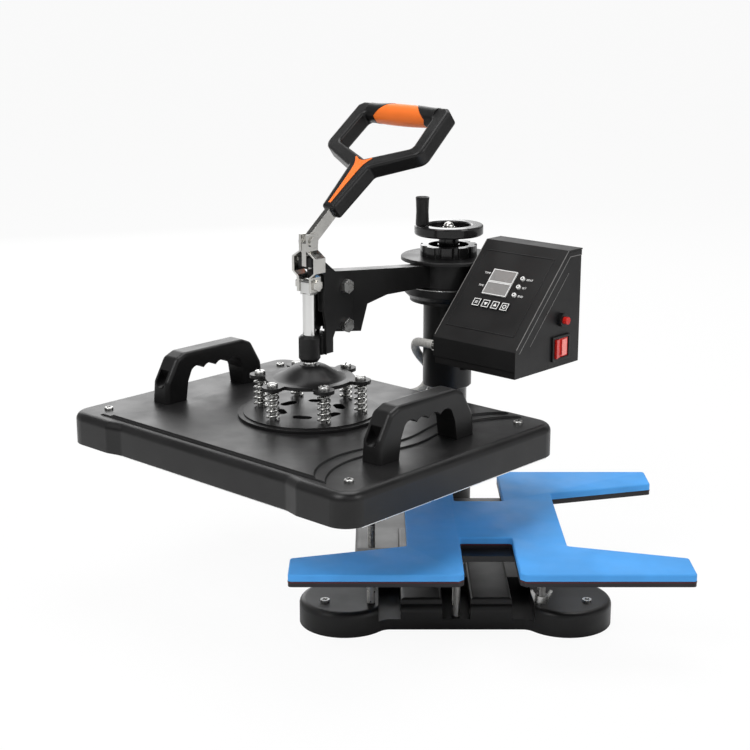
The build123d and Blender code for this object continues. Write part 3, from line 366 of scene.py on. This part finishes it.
def woven(name, colour, dark, pitch, rough):
    """Crossed threads of a sleeve or a felt."""
    material, tree, shader = nodes_of(name)
    shader.inputs["Roughness"].default_value = rough
    shader.inputs["Sheen Weight"].default_value = 0.2
    mottle(tree, shader, colour, dark, 1.0 / (pitch * 1.6))
    wave = tree.nodes.new("ShaderNodeTexVoronoi")
    wave.inputs["Scale"].default_value = 1.0 / pitch
    tree.links.new(position(tree), wave.inputs["Vector"])
    relief(tree, shader, wave.outputs["Distance"], 0.6, 0.0006)
    return material


def glowing(name, colour, strength):
    material, tree, shader = nodes_of(name)
    shader.inputs["Base Color"].default_value = (*colour, 1)
    shader.inputs["Emission Color"].default_value = (*colour, 1)
    shader.inputs["Emission Strength"].default_value = strength
    shader.inputs["Roughness"].default_value = 0.3
    return material


def finish_of(name):
    found = bpy.data.materials.get(name)
    if found:
        return found
    tones = bpy.context.scene.press_colours
    paint = tuple(tones.paint)
    makers = {
        "satin_black_paint": lambda n: painted(n, paint, 0.36),
        "sheet_black_paint": lambda n: painted(n, tuple(c * 1.15 for c in paint), 0.42, 420.0, 0.2),
        "gloss_black_steel": lambda n: painted(n, paint, 0.2, 300.0, 0.04, coat=0.3),
        "moulded_black": lambda n: painted(n, tuple(c * 0.9 for c in paint), 0.34, 1400.0, 0.18),
        "rubber_black": lambda n: painted(n, paint, 0.75, 900.0, 0.3),
        # painted shade: near-black that stands in for the shade inside the screws' driver slots
        "slot_painted_shade": lambda n: painted(n, (0.005, 0.005, 0.005), 0.6, 900.0, 0.1, edge=0.0),
        "board_dark": lambda n: painted(n, tuple(tones.board), 0.45, 500.0, 0.1),
        "board_edge": lambda n: painted(n, (0.07, 0.010, 0.014), 0.45, 500.0, 0.1, edge=0.0),
        "silicone_blue": lambda n: painted(n, tuple(tones.pad), 0.58, 1100.0, 0.16, edge=0.0),
        "grip_orange": lambda n: painted(n, tuple(tones.grip), 0.42, 900.0, 0.14, edge=0.0),
        "switch_red": lambda n: painted(n, tuple(tones.switch), 0.2, 300.0, 0.03),
        "switch_lens": lambda n: glowing(n, (0.9, 0.25, 0.22), 0.15),
        "print_white": lambda n: painted(n, (0.88, 0.88, 0.86), 0.5, 900.0, 0.05, edge=0.0),
        "lamp_dark": lambda n: painted(n, (0.05, 0.05, 0.052), 0.2, 300.0, 0.02),
        "frame_white": lambda n: painted(n, (0.85, 0.85, 0.84), 0.3, 300.0, 0.02, edge=0.0),
        # painted highlight: a lighter grey on thin strips that stands in for the bright light on the box's edges
        # and fold line
        "painted_edge_highlight": lambda n: painted(n, (0.20, 0.195, 0.19), 0.35, edge=0.0),
        "window_grey": lambda n: painted(n, (0.27, 0.265, 0.26), 0.3, 200.0, 0.02, coat=0.3),
        "board_green": lambda n: painted(n, (0.03, 0.15, 0.06), 0.5),
        "zinc_plate": lambda n: plated(n, (0.60, 0.60, 0.585), 0.27),
        "zinc_thread": lambda n: plated(n, (0.58, 0.57, 0.55), 0.28, thread=0.00125),
        "bright_nickel": lambda n: plated(n, tuple(tones.nickel), 0.15, (1.0, 1.0, 0.2)),
        "polished_bar": lambda n: plated(n, (0.74, 0.74, 0.73), 0.09, (1.0, 1.0, 0.1)),
        "spring_steel": lambda n: plated(n, (0.60, 0.60, 0.58), 0.24),
        "cast_bronze": lambda n: plated(n, (0.55, 0.40, 0.18), 0.35),
        "machined_plate": lambda n: plated(n, (0.80, 0.80, 0.79), 0.32, (0.1, 1.0, 1.0)),
        "element_steel": lambda n: plated(n, (0.34, 0.32, 0.30), 0.45),
        "glass_sleeve": lambda n: woven(n, (0.58, 0.57, 0.54), (0.44, 0.43, 0.41), 0.0016, 0.8),
        "felt_blanket": lambda n: woven(n, (0.68, 0.66, 0.6), (0.6, 0.58, 0.53), 0.003, 0.95),
    }
    if name not in makers:
        raise RuntimeError(f"there is no finish named {name}")
    return makers[name](name)


NODE_FINISHES = {
    "satin_black_paint": [
        "base_shell", "column_socket", "arm_sleeve", "arm_hub", "arm_beam", "clamp_plates", "plunger_guide",
        "box_bracket", "heater_cover", "round_plate", "spider_plate", "board_carriers",
    ],
    "sheet_black_paint": ["box_body", "box_cover"],
    "gloss_black_steel": ["column_post", "handwheel", "lock_ring"],
    "moulded_black": [
        "crank_knob", "lever_frame", "press_handles", "rocker_bezel", "reset_holder",
        "panel_key_1", "panel_key_2", "panel_key_3", "panel_key_4",
    ],
    "rubber_black": ["foot_pads", "lead_grommet"],
    "board_dark": ["lower_board"],
    "grip_orange": ["lever_grip"],
    "switch_red": ["rocker_switch", "reset_button"],
    "lamp_dark": ["indicator_lights"],
    "window_grey": ["display_windows"],
    "board_green": ["control_board"],
    "zinc_plate": [
        "socket_bolts", "wing_nut", "clamp_bolts", "spring_screws", "cover_screws", "foot_screws", "knob_pin",
    ],
    "zinc_thread": ["platen_studs", "lift_spindle"],
    "bright_nickel": ["lever_bar", "lever_pivot", "link_plates", "link_pins", "dome_nut", "lead_gland"],
    "polished_bar": ["plunger_rod"],
    "cast_bronze": ["lift_nut", "thrust_collar"],
    "machined_plate": ["heating_platen"],
    "element_steel": ["heating_element"],
    "felt_blanket": ["insulation_pad"],
}


def colour_of(name, description, default):
    """Colour that a user may change."""
    return bpy.props.FloatVectorProperty(
        name=name, description=description, subtype="COLOR", size=3, default=default, min=0.0, max=1.0
    )


def length_of(name, description, default):
    """Length in metres that a user may change."""
    return bpy.props.FloatProperty(
        name=name, description=description, unit="LENGTH", default=default, min=0.0
    )


class PressColours(bpy.types.PropertyGroup):
    """Colours that a user would change."""

    paint: colour_of("Paint", "Black paint of the frame", (0.008, 0.0078, 0.008))
    pad: colour_of("Pad", "Silicone of the lower pad", (0.062, 0.31, 0.72))
    board: colour_of("Board", "Board under the pad", (0.012, 0.010, 0.012))
    grip: colour_of("Grip", "Soft grip and inlay of the lever", (0.85, 0.17, 0.02))
    switch: colour_of("Switch", "Rocker and reset button", (0.62, 0.02, 0.015))
    nickel: colour_of("Nickel", "Plated clamp", (0.70, 0.69, 0.66))


class PressSizes(bpy.types.PropertyGroup):
    """Sizes that a user would change."""

    pad_edge: length_of("Pad edge", "Rounding of the silicone pad's edge", 0.0016)
    lead_radius: length_of("Lead radius", "Radius of the sleeved heater lead", 0.0047)
    letter_height: length_of("Letter height", "Size of the panel's words", 0.0052)
    lens: bpy.props.FloatProperty(
        name="Lens", description="Camera lens", subtype="DISTANCE_CAMERA", default=74.4
    )


class PRESS_OT_stage(bpy.types.Operator):
    """Floor, lamps, world and camera."""

    bl_idname = "press.stage"
    bl_label = "Stage"

    def execute(self, context):
        scene = context.scene
        scene.view_settings.view_transform = "Standard"
        bm = bmesh.new()
        bmesh.ops.create_grid(bm, x_segments=1, y_segments=1, size=FLOOR_HALF)
        mesh = bpy.data.meshes.new("floor")
        bm.to_mesh(mesh)
        bm.free()
        floor = bpy.data.objects.new("floor", mesh)
        scene.collection.objects.link(floor)
        material, tree, shader = nodes_of("pale_floor")
        shader.inputs["Base Color"].default_value = (0.9, 0.9, 0.9, 1)
        shader.inputs["Roughness"].default_value = 0.85
        shader.inputs["Specular IOR Level"].default_value = 0.1
        white = tree.nodes.new("ShaderNodeEmission")
        white.inputs["Color"].default_value = (1, 1, 1, 1)
        mix = tree.nodes.new("ShaderNodeMixShader")
        seen = tree.nodes.new("ShaderNodeLightPath")
        part = tree.nodes.new("ShaderNodeMath")
        part.operation = "MULTIPLY"
        part.inputs[1].default_value = FLOOR_SHARE_SEEN_WHITE
        tree.links.new(seen.outputs["Is Camera Ray"], part.inputs[0])
        tree.links.new(part.outputs[0], mix.inputs["Fac"])
        tree.links.new(shader.outputs[0], mix.inputs[1])
        tree.links.new(white.outputs[0], mix.inputs[2])
        tree.links.new(mix.outputs[0], tree.nodes["Material Output"].inputs["Surface"])
        mesh.materials.append(material)
        self.light(scene)
        camera_data = bpy.data.cameras.new("camera")
        camera_data.lens = scene.press_sizes.lens
        camera_data.sensor_width = SENSOR
        camera_data.sensor_fit = "HORIZONTAL"
        camera_data.clip_end = CLIP_END
        camera = bpy.data.objects.new("camera", camera_data)
        camera.location = CAMERA_PLACE
        camera.rotation_euler = (math.radians(CAMERA_TILT), 0.0, 0.0)
        scene.collection.objects.link(camera)
        scene.camera = camera
        return {"FINISHED"}

    def light(self, scene):
        """Soft world that the camera sees as white, and four lamps."""
        world = bpy.data.worlds.new("studio")
        scene.world = world
        world.use_nodes = True
        tree = world.node_tree
        soft = tree.nodes["Background"]
        soft.inputs["Color"].default_value = (1, 1, 1, 1)
        soft.inputs["Strength"].default_value = SOFT_LIGHT
        white = tree.nodes.new("ShaderNodeBackground")
        white.inputs["Color"].default_value = (1, 1, 1, 1)
        white.inputs["Strength"].default_value = 1.0
        mix = tree.nodes.new("ShaderNodeMixShader")
        seen = tree.nodes.new("ShaderNodeLightPath")
        tent = self.tent(tree)
        shine = tree.nodes.new("ShaderNodeMixShader")
        tree.links.new(seen.outputs["Is Glossy Ray"], shine.inputs["Fac"])
        tree.links.new(soft.outputs[0], shine.inputs[1])
        tree.links.new(tent.outputs[0], shine.inputs[2])
        tree.links.new(seen.outputs["Is Camera Ray"], mix.inputs["Fac"])
        tree.links.new(shine.outputs[0], mix.inputs[1])
        tree.links.new(white.outputs[0], mix.inputs[2])
        tree.links.new(mix.outputs[0], tree.nodes["World Output"].inputs["Surface"])
        for name, where, size, power in LAMPS:
            data = bpy.data.lights.new(name, "AREA")
            data.size = size
            data.energy = power
            lamp = bpy.data.objects.new(name, data)
            lamp.location = where
            aim = Vector(LIGHT_AIM) - Vector(where)
            lamp.rotation_euler = aim.to_track_quat("-Z", "Y").to_euler()
            scene.collection.objects.link(lamp)

    def tent(self, tree):
        """Light tent with darker gaps, which only mirror-like surfaces see."""
        coordinates = tree.nodes.new("ShaderNodeTexCoord")
        texture = tree.nodes.new("ShaderNodeTexNoise")
        texture.inputs["Scale"].default_value = 1.7
        texture.inputs["Detail"].default_value = 0.0
        tree.links.new(coordinates.outputs["Generated"], texture.inputs["Vector"])
        spread = tree.nodes.new("ShaderNodeMapRange")
        spread.inputs["From Min"].default_value = 0.42
        spread.inputs["From Max"].default_value = 0.58
        spread.inputs["To Min"].default_value = 0.12
        spread.inputs["To Max"].default_value = 0.95
        tree.links.new(texture.outputs["Fac"], spread.inputs["Value"])
        tent = tree.nodes.new("ShaderNodeBackground")
        tree.links.new(spread.outputs["Result"], tent.inputs["Strength"])
        return tent


class PRESS_OT_finishes(bpy.types.Operator):
    """Finish of every CAD node that is shown."""

    bl_idname = "press.finishes"
    bl_label = "Node finishes"

    def execute(self, context):
        for finish, names in NODE_FINISHES.items():
            for name in names:
                mesh = NODES[name].data
                mesh.materials.clear()
                mesh.materials.append(finish_of(finish))
        return {"FINISHED"}


class PRESS_OT_pad(bpy.types.Operator):
    """Blue silicone pad with rounded edges, and the thin red line round the board."""

    bl_idname = "press.pad"
    bl_label = "Silicone pad"

    def execute(self, context):
        bm = copy_of_node("silicone_pad")
        bmesh.ops.dissolve_limit(bm, angle_limit=0.01, verts=bm.verts, edges=bm.edges)
        bmesh.ops.recalc_face_normals(bm, faces=bm.faces)
        top = max(v.co.z for v in bm.verts)
        rim = [e for e in bm.edges if all(abs(v.co.z - top) < 1e-5 for v in e.verts)]
        soften(bm, context.scene.press_sizes.pad_edge, 3, rim)
        pad = settle("pad_cushion", bm, "silicone_blue", "base")
        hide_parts("silicone_pad")
        bm = copy_of_node("lower_board")
        bmesh.ops.dissolve_limit(bm, angle_limit=0.01, verts=bm.verts, edges=bm.edges)
        centre = Vector((*BOARD_CENTRE, 0.0)) * MM
        low = min(v.co.z for v in bm.verts)
        high = max(v.co.z for v in bm.verts)
        for vertex in bm.verts:
            flat = Vector((vertex.co.x, vertex.co.y, 0.0)) - centre
            grown = centre + flat * (1.0 + EDGE_PROUD * MM / max(flat.length, 0.05))
            drop = EDGE_LINE[1] if vertex.co.z < (low + high) / 2 else EDGE_LINE[0]
            height = high - drop * MM
            vertex.co = (grown.x, grown.y, height)
        settle("board_edge_line", bm, "board_edge", "base")
        return {"FINISHED"}


class PRESS_OT_springs(bpy.types.Operator):
    """Six platen springs as a merged copy of the CAD node's coils."""

    bl_idname = "press.springs"
    bl_label = "Springs"

    def execute(self, context):
        bm = copy_of_node("platen_springs")
        springs = settle("spring_coils", bm, "spring_steel", None, normals=False)
        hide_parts("platen_springs")
        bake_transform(springs)
        return {"FINISHED"}


class PRESS_OT_lead(bpy.types.Operator):
    """Sleeved heater lead from the control box to the platen's cover."""

    bl_idname = "press.lead"
    bl_label = "Heater lead"

    def execute(self, context):
        radius = context.scene.press_sizes.lead_radius
        curve = bpy.data.curves.new("lead_route", "CURVE")
        curve.dimensions = "3D"
        curve.resolution_u = 12
        spline = curve.splines.new("NURBS")
        spline.points.add(len(LEAD_ROUTE) - 1)
        for point, place in zip(spline.points, LEAD_ROUTE):
            point.co = (*(HEAD @ Vector(place)), 1.0)
        spline.order_u = 3
        spline.use_endpoint_u = True
        carrier = bpy.data.objects.new("lead_route", curve)
        context.scene.collection.objects.link(carrier)
        context.view_layer.update()
        line = bpy.data.meshes.new_from_object(carrier)
        curve.bevel_depth = radius
        curve.bevel_resolution = 5
        curve.use_fill_caps = True
        context.view_layer.update()
        mesh = bpy.data.meshes.new_from_object(carrier)
        bpy.data.objects.remove(carrier)
        bm = bmesh.new()
        bm.from_mesh(mesh)
        bmesh.ops.remove_doubles(bm, verts=bm.verts, dist=1e-6)
        lead = settle("lead_sleeve", bm, "glass_sleeve", None)
        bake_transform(lead)
        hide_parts("heater_lead")
        return {"FINISHED"}


def barrel_radius(u):
    """Radius of the grip at a distance from its middle."""
    return 11.5 - 1.3 * min(1.0, (abs(u) / GRIP_HALF) ** 2)


def collar_start(angle):
    """Where a collar begins, by the angle from the far side of the grip."""
    if angle < 150.0:
        return 9.0 + 26.0 * angle / 150.0
    return 35.0 - 1.5 * (angle - 150.0) / 30.0


class PRESS_OT_lever_trim(bpy.types.Operator):
    """Orange inlay of the lever's neck, its barrel grip and the grip's collars."""

    bl_idname = "press.lever_trim"
    bl_label = "Lever trim"

    def execute(self, context):
        bm = bmesh.new()
        far_side = [(-x, s) for x, s in reversed(INLAY_SIDE)]
        for low, high in INLAY_FACES:
            outlined(bm, [*INLAY_SIDE, *INLAY_FORK, *far_side], low, high, LEVER)
        settle("neck_inlay", bm, "grip_orange", "lever")
        self.barrel()
        self.collars()
        return {"FINISHED"}

    def barrel(self):
        """Soft grip, thicker in the middle."""
        bm = bmesh.new()
        across = [GRIP_HALF * (i / 12.0 - 1.0) for i in range(25)]
        profile = [(GRIP_CORE, -GRIP_HALF), *((barrel_radius(u), u) for u in across), (GRIP_CORE, GRIP_HALF)]
        turned(bm, profile, LEVER @ shift(0, GRIP_ALONG, 0) @ turn(90, "Y"), 64)
        barrel = settle("grip_barrel", bm, "grip_orange", "lever")
        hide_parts("lever_grip")

    def collars(self):
        """Black collars whose points run in over the soft grip."""
        bm = bmesh.new()
        for side in (-1, 1):
            row = [bm.verts.new((i / 10.0, 1.0, 0.0)) for i in range(11)]
            edges = [bm.edges.new(pair) for pair in zip(row, row[1:])]
            others = set(bm.verts) - set(row)
            bmesh.ops.spin(
                bm, geom=row + edges, axis=(1, 0, 0), cent=(0, 0, 0), angle=2 * math.pi, steps=72,
                use_merge=True,
            )
            for vertex in [v for v in bm.verts if v not in others]:
                share, out, up = vertex.co
                start = collar_start(abs(math.degrees(math.atan2(up, out))))
                u = start + (COLLAR_END - start) * share
                radius = barrel_radius(u) + COLLAR_RISE
                vertex.co = LEVER @ Vector((side * u, GRIP_ALONG + radius * out, radius * up))
        bmesh.ops.recalc_face_normals(bm, faces=bm.faces)
        bmesh.ops.solidify(bm, geom=list(bm.faces), thickness=COLLAR_WALL * MM)
        settle("grip_collars", bm, "moulded_black", "lever")


class PRESS_OT_fasteners(bpy.types.Operator):
    """Driver slots of the screws on the spring plate, the cover and the feet, as near-black blocks: painted
    shade in the slots.
    """

    bl_idname = "press.fasteners"
    bl_label = "Driver slots"

    def crosses(self, node, size, places, matrix, first):
        """Crossed slots in the heads of a node's screws."""
        bm = bmesh.new()
        for x, y in places:
            for angle in (first, first + 90.0):
                block(bm, size, matrix @ shift(x, y, top_of(node)) @ turn(angle, "Z"))
        return bm

    def execute(self, context):
        bm = bmesh.new()
        for i in range(SPRING_COUNT):
            around = turn(30.0 + 360.0 / SPRING_COUNT * i, "Z")
            head = shift(SPRING_CIRCLE, 0, top_of("spring_screws"))
            block(bm, (8.6, 1.3, 0.4), PLATEN @ around @ head @ turn(37.0 * i, "Z"))
        settle("spring_screw_slots", bm, "slot_painted_shade", "heater")
        bm = self.crosses("cover_screws", (5.2, 1.1, 0.4), COVER_SCREWS, PLATEN, 20.0)
        settle("cover_screw_slots", bm, "slot_painted_shade", "heater")
        bm = self.crosses("foot_screws", (5.6, 1.1, 0.4), FOOT_SCREWS, ROW, 35.0)
        settle("foot_screw_slots", bm, "slot_painted_shade", "base")
        return {"FINISHED"}


class PRESS_OT_panel(bpy.types.Operator):
    """Frames, rings, outlines and words on the control panel."""

    bl_idname = "press.panel"
    bl_label = "Control panel"

    def words(self, context, text, across, down, height, centred):
        """Flat word as a mesh, laid on the panel."""
        data = bpy.data.curves.new("word", "FONT")
        data.body = text
        data.size = height
        data.align_x = "CENTER" if centred else "LEFT"
        data.align_y = "CENTER"
        data.extrude = 0.1
        carrier = bpy.data.objects.new("word", data)
        context.scene.collection.objects.link(carrier)
        context.view_layer.update()
        mesh = bpy.data.meshes.new_from_object(carrier)
        bpy.data.objects.remove(carrier)
        mesh.transform(on_slope(across, down, SKIN + 0.05))
        return mesh

    def symbol(self, bm, place, which):
        """Plain sign on a key: bars, an arrow down, an arrow up or a ring."""
        if which == 0:
            for rise in (-1.2, 0.0, 1.2):
                block(bm, (3.6, 0.55, 0.2), place @ shift(0, rise, (KEY_FACE + PRINT_FACE) / 2))
        elif which == 3:
            ring = ((1.5, KEY_FACE), (2.4, KEY_FACE), (2.4, PRINT_FACE), (1.5, PRINT_FACE))
            turned(bm, ring, place, 24)
        else:
            way = 1 if which == 2 else -1
            arrow = ((-2.4, -1.5 * way), (2.4, -1.5 * way), (0.0, 2.3 * way))
            outlined(bm, arrow, KEY_FACE, PRINT_FACE, place)

    def execute(self, context):
        height = context.scene.press_sizes.letter_height / MM * WORD_SHARE
        bm = bmesh.new()
        for down in WINDOW_DOWN:
            picture_frame(bm, 30.0, 14.4, 0.9, 1.1, 2.75, on_slope(WINDOW_ACROSS, down))
        settle("window_frames", bm, "frame_white", "arm")
        bm = bmesh.new()
        for down in LED_DOWN:
            turned(bm, LAMP_RING, on_slope(LED_ACROSS, down), 28)
        settle("lamp_rings", bm, "print_white", "arm")
        for i, across in enumerate(KEY_ACROSS):
            bm = bmesh.new()
            place = on_slope(across, KEY_DOWN)
            picture_frame(bm, 8.0, 8.0, 0.8, KEY_FACE, PRINT_FACE, place)
            self.symbol(bm, place, i)
            settle(f"key_outline_{i + 1}", bm, "print_white", f"key_{i + 1}")
        bm = bmesh.new()
        picture_frame(bm, 88.5, 96.5, 1.3, 1.15, 1.75, on_slope(50.3, 60.8))
        soften(bm, 0.35 * MM, 1)
        settle("panel_emboss", bm, "sheet_black_paint", "arm")
        bm = bmesh.new()
        labels = [(text, 23.0, down, True) for text, down in WINDOW_WORDS]
        labels += [(text, 74.3, down, False) for text, down in LAMP_WORDS]
        for text, across, down, centred in labels:
            mesh = self.words(context, text, across, down, height, centred)
            bm.from_mesh(mesh)
            bpy.data.meshes.remove(mesh)
        settle("panel_words", bm, "print_white", "arm", smooth=False)
        return {"FINISHED"}


class PRESS_OT_box_trim(bpy.types.Operator):
    """Seams of the control box with painted highlights along its edges and fold line, the lit half of its rocker
    and the stud below.
    """

    bl_idname = "press.box_trim"
    bl_label = "Box trim"

    def execute(self, context):
        bm = bmesh.new()
        # side groove: a thin raised strip in a lighter grey, a fold line with a painted highlight on it
        block(bm, (92.0, 0.5, 0.3), on_side(26.0, 295.3) @ turn(-SLOPE_TILT, "Z") @ shift(0, 0, -0.1))
        settle("side_groove_highlight", bm, "painted_edge_highlight", "arm")
        wall = on_side(0.0, 0.0)
        bm = bmesh.new()
        outlined(bm, [*LIP_OUTER, *reversed(LIP_INNER)], -0.9, 0.0, wall)
        settle("side_lip", bm, "sheet_black_paint", "arm")
        bm = bmesh.new()
        # painted highlight: a lighter grey strip along the cover's lip
        outlined(bm, [*LIP_HIGHLIGHT, *reversed(LIP_INNER)], -1.0, -0.3, wall)
        settle("side_lip_highlight", bm, "painted_edge_highlight", "arm")
        bm = bmesh.new()
        # painted highlight: lighter strips along both edges of the slope
        for across in (-1.05, BOX_RIGHT - BOX_LEFT + 1.05):
            block(bm, (0.7, 123.0, 0.3), on_slope(across, 61.5, SKIN))
        settle("slope_edge_highlight", bm, "painted_edge_highlight", "arm")
        bm = bmesh.new()
        rocker = HEAD @ shift(158.9, -0.8, 252.0) @ turn(7.0, "Z") @ turn(90, "Y") @ turn(90, "Z")
        block(bm, (9.5, 17.0, 0.5), rocker)
        settle("rocker_lens", bm, "switch_lens", "rocker")
        bm = bmesh.new()
        drum(bm, 4.2, 228.6, 232.2, HEAD @ shift(84.0, -74.0, 0), 28, 4.6)
        settle("box_foot", bm, "rubber_black", "arm")
        return {"FINISHED"}


class PRESS_OT_knob(bpy.types.Operator):
    """Waisted crank knob with a dished top."""

    bl_idname = "press.knob"
    bl_label = "Crank knob"

    def execute(self, context):
        bm = bmesh.new()
        turned(bm, KNOB_PROFILE, ROW @ shift(*KNOB_PLACE), 56)
        knob = settle("knob_grip", bm, "moulded_black", "knob")
        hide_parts("crank_knob")
        return {"FINISHED"}


class PRESS_OT_platen_edge(bpy.types.Operator):
    """Bright edge of the heating platen under the cover's right-hand side."""

    bl_idname = "press.platen_edge"
    bl_label = "Platen edge"

    def execute(self, context):
        bm = bmesh.new()
        block(bm, (0.9, 270.0, 1.1), PLATEN @ shift(*PLATEN_EDGE))
        settle("platen_bright_edge", bm, "machined_plate", "heater")
        return {"FINISHED"}


class PRESS_OT_hub_trim(bpy.types.Operator):
    """Bright metal ring on the edge of the arm's lower flange, a painted highlight."""

    bl_idname = "press.hub_trim"
    bl_label = "Hub trim"

    def execute(self, context):
        bm = bmesh.new()
        turned(bm, FLANGE_HIGHLIGHT, HEAD, 96)
        settle("flange_edge_highlight", bm, "zinc_plate", "arm")
        return {"FINISHED"}


class PRESS_PT_panel(bpy.types.Panel):
    """Lists the press's sizes, colours and steps."""

    bl_idname = "PRESS_PT_panel"
    bl_label = "Heat press"
    bl_space_type = "VIEW_3D"
    bl_region_type = "UI"
    bl_category = "Press"

    def draw(self, context):
        for group in (context.scene.press_sizes, context.scene.press_colours):
            for name in group.__annotations__:
                self.layout.prop(group, name)
        for step in STEPS:
            self.layout.operator(step.bl_idname)


STEPS = (
    PRESS_OT_stage,
    PRESS_OT_finishes,
    PRESS_OT_pad,
    PRESS_OT_springs,
    PRESS_OT_lead,
    PRESS_OT_lever_trim,
    PRESS_OT_fasteners,
    PRESS_OT_panel,
    PRESS_OT_box_trim,
    PRESS_OT_knob,
    PRESS_OT_platen_edge,
    PRESS_OT_hub_trim,
)
CLASSES = (PressColours, PressSizes, *STEPS, PRESS_PT_panel)


def register():
    for entry in CLASSES:
        bpy.utils.register_class(entry)
    bpy.types.Scene.press_colours = bpy.props.PointerProperty(type=PressColours)
    bpy.types.Scene.press_sizes = bpy.props.PointerProperty(type=PressSizes)


def unregister():
    del bpy.types.Scene.press_sizes
    del bpy.types.Scene.press_colours
    for entry in reversed(CLASSES):
        bpy.utils.unregister_class(entry)


def main():
    """Registers the classes and runs every step in order."""
    register()
    for step in STEPS:
        group, name = step.bl_idname.split(".")
        getattr(getattr(bpy.ops, group), name)()


if __name__ == "__main__":
    main()
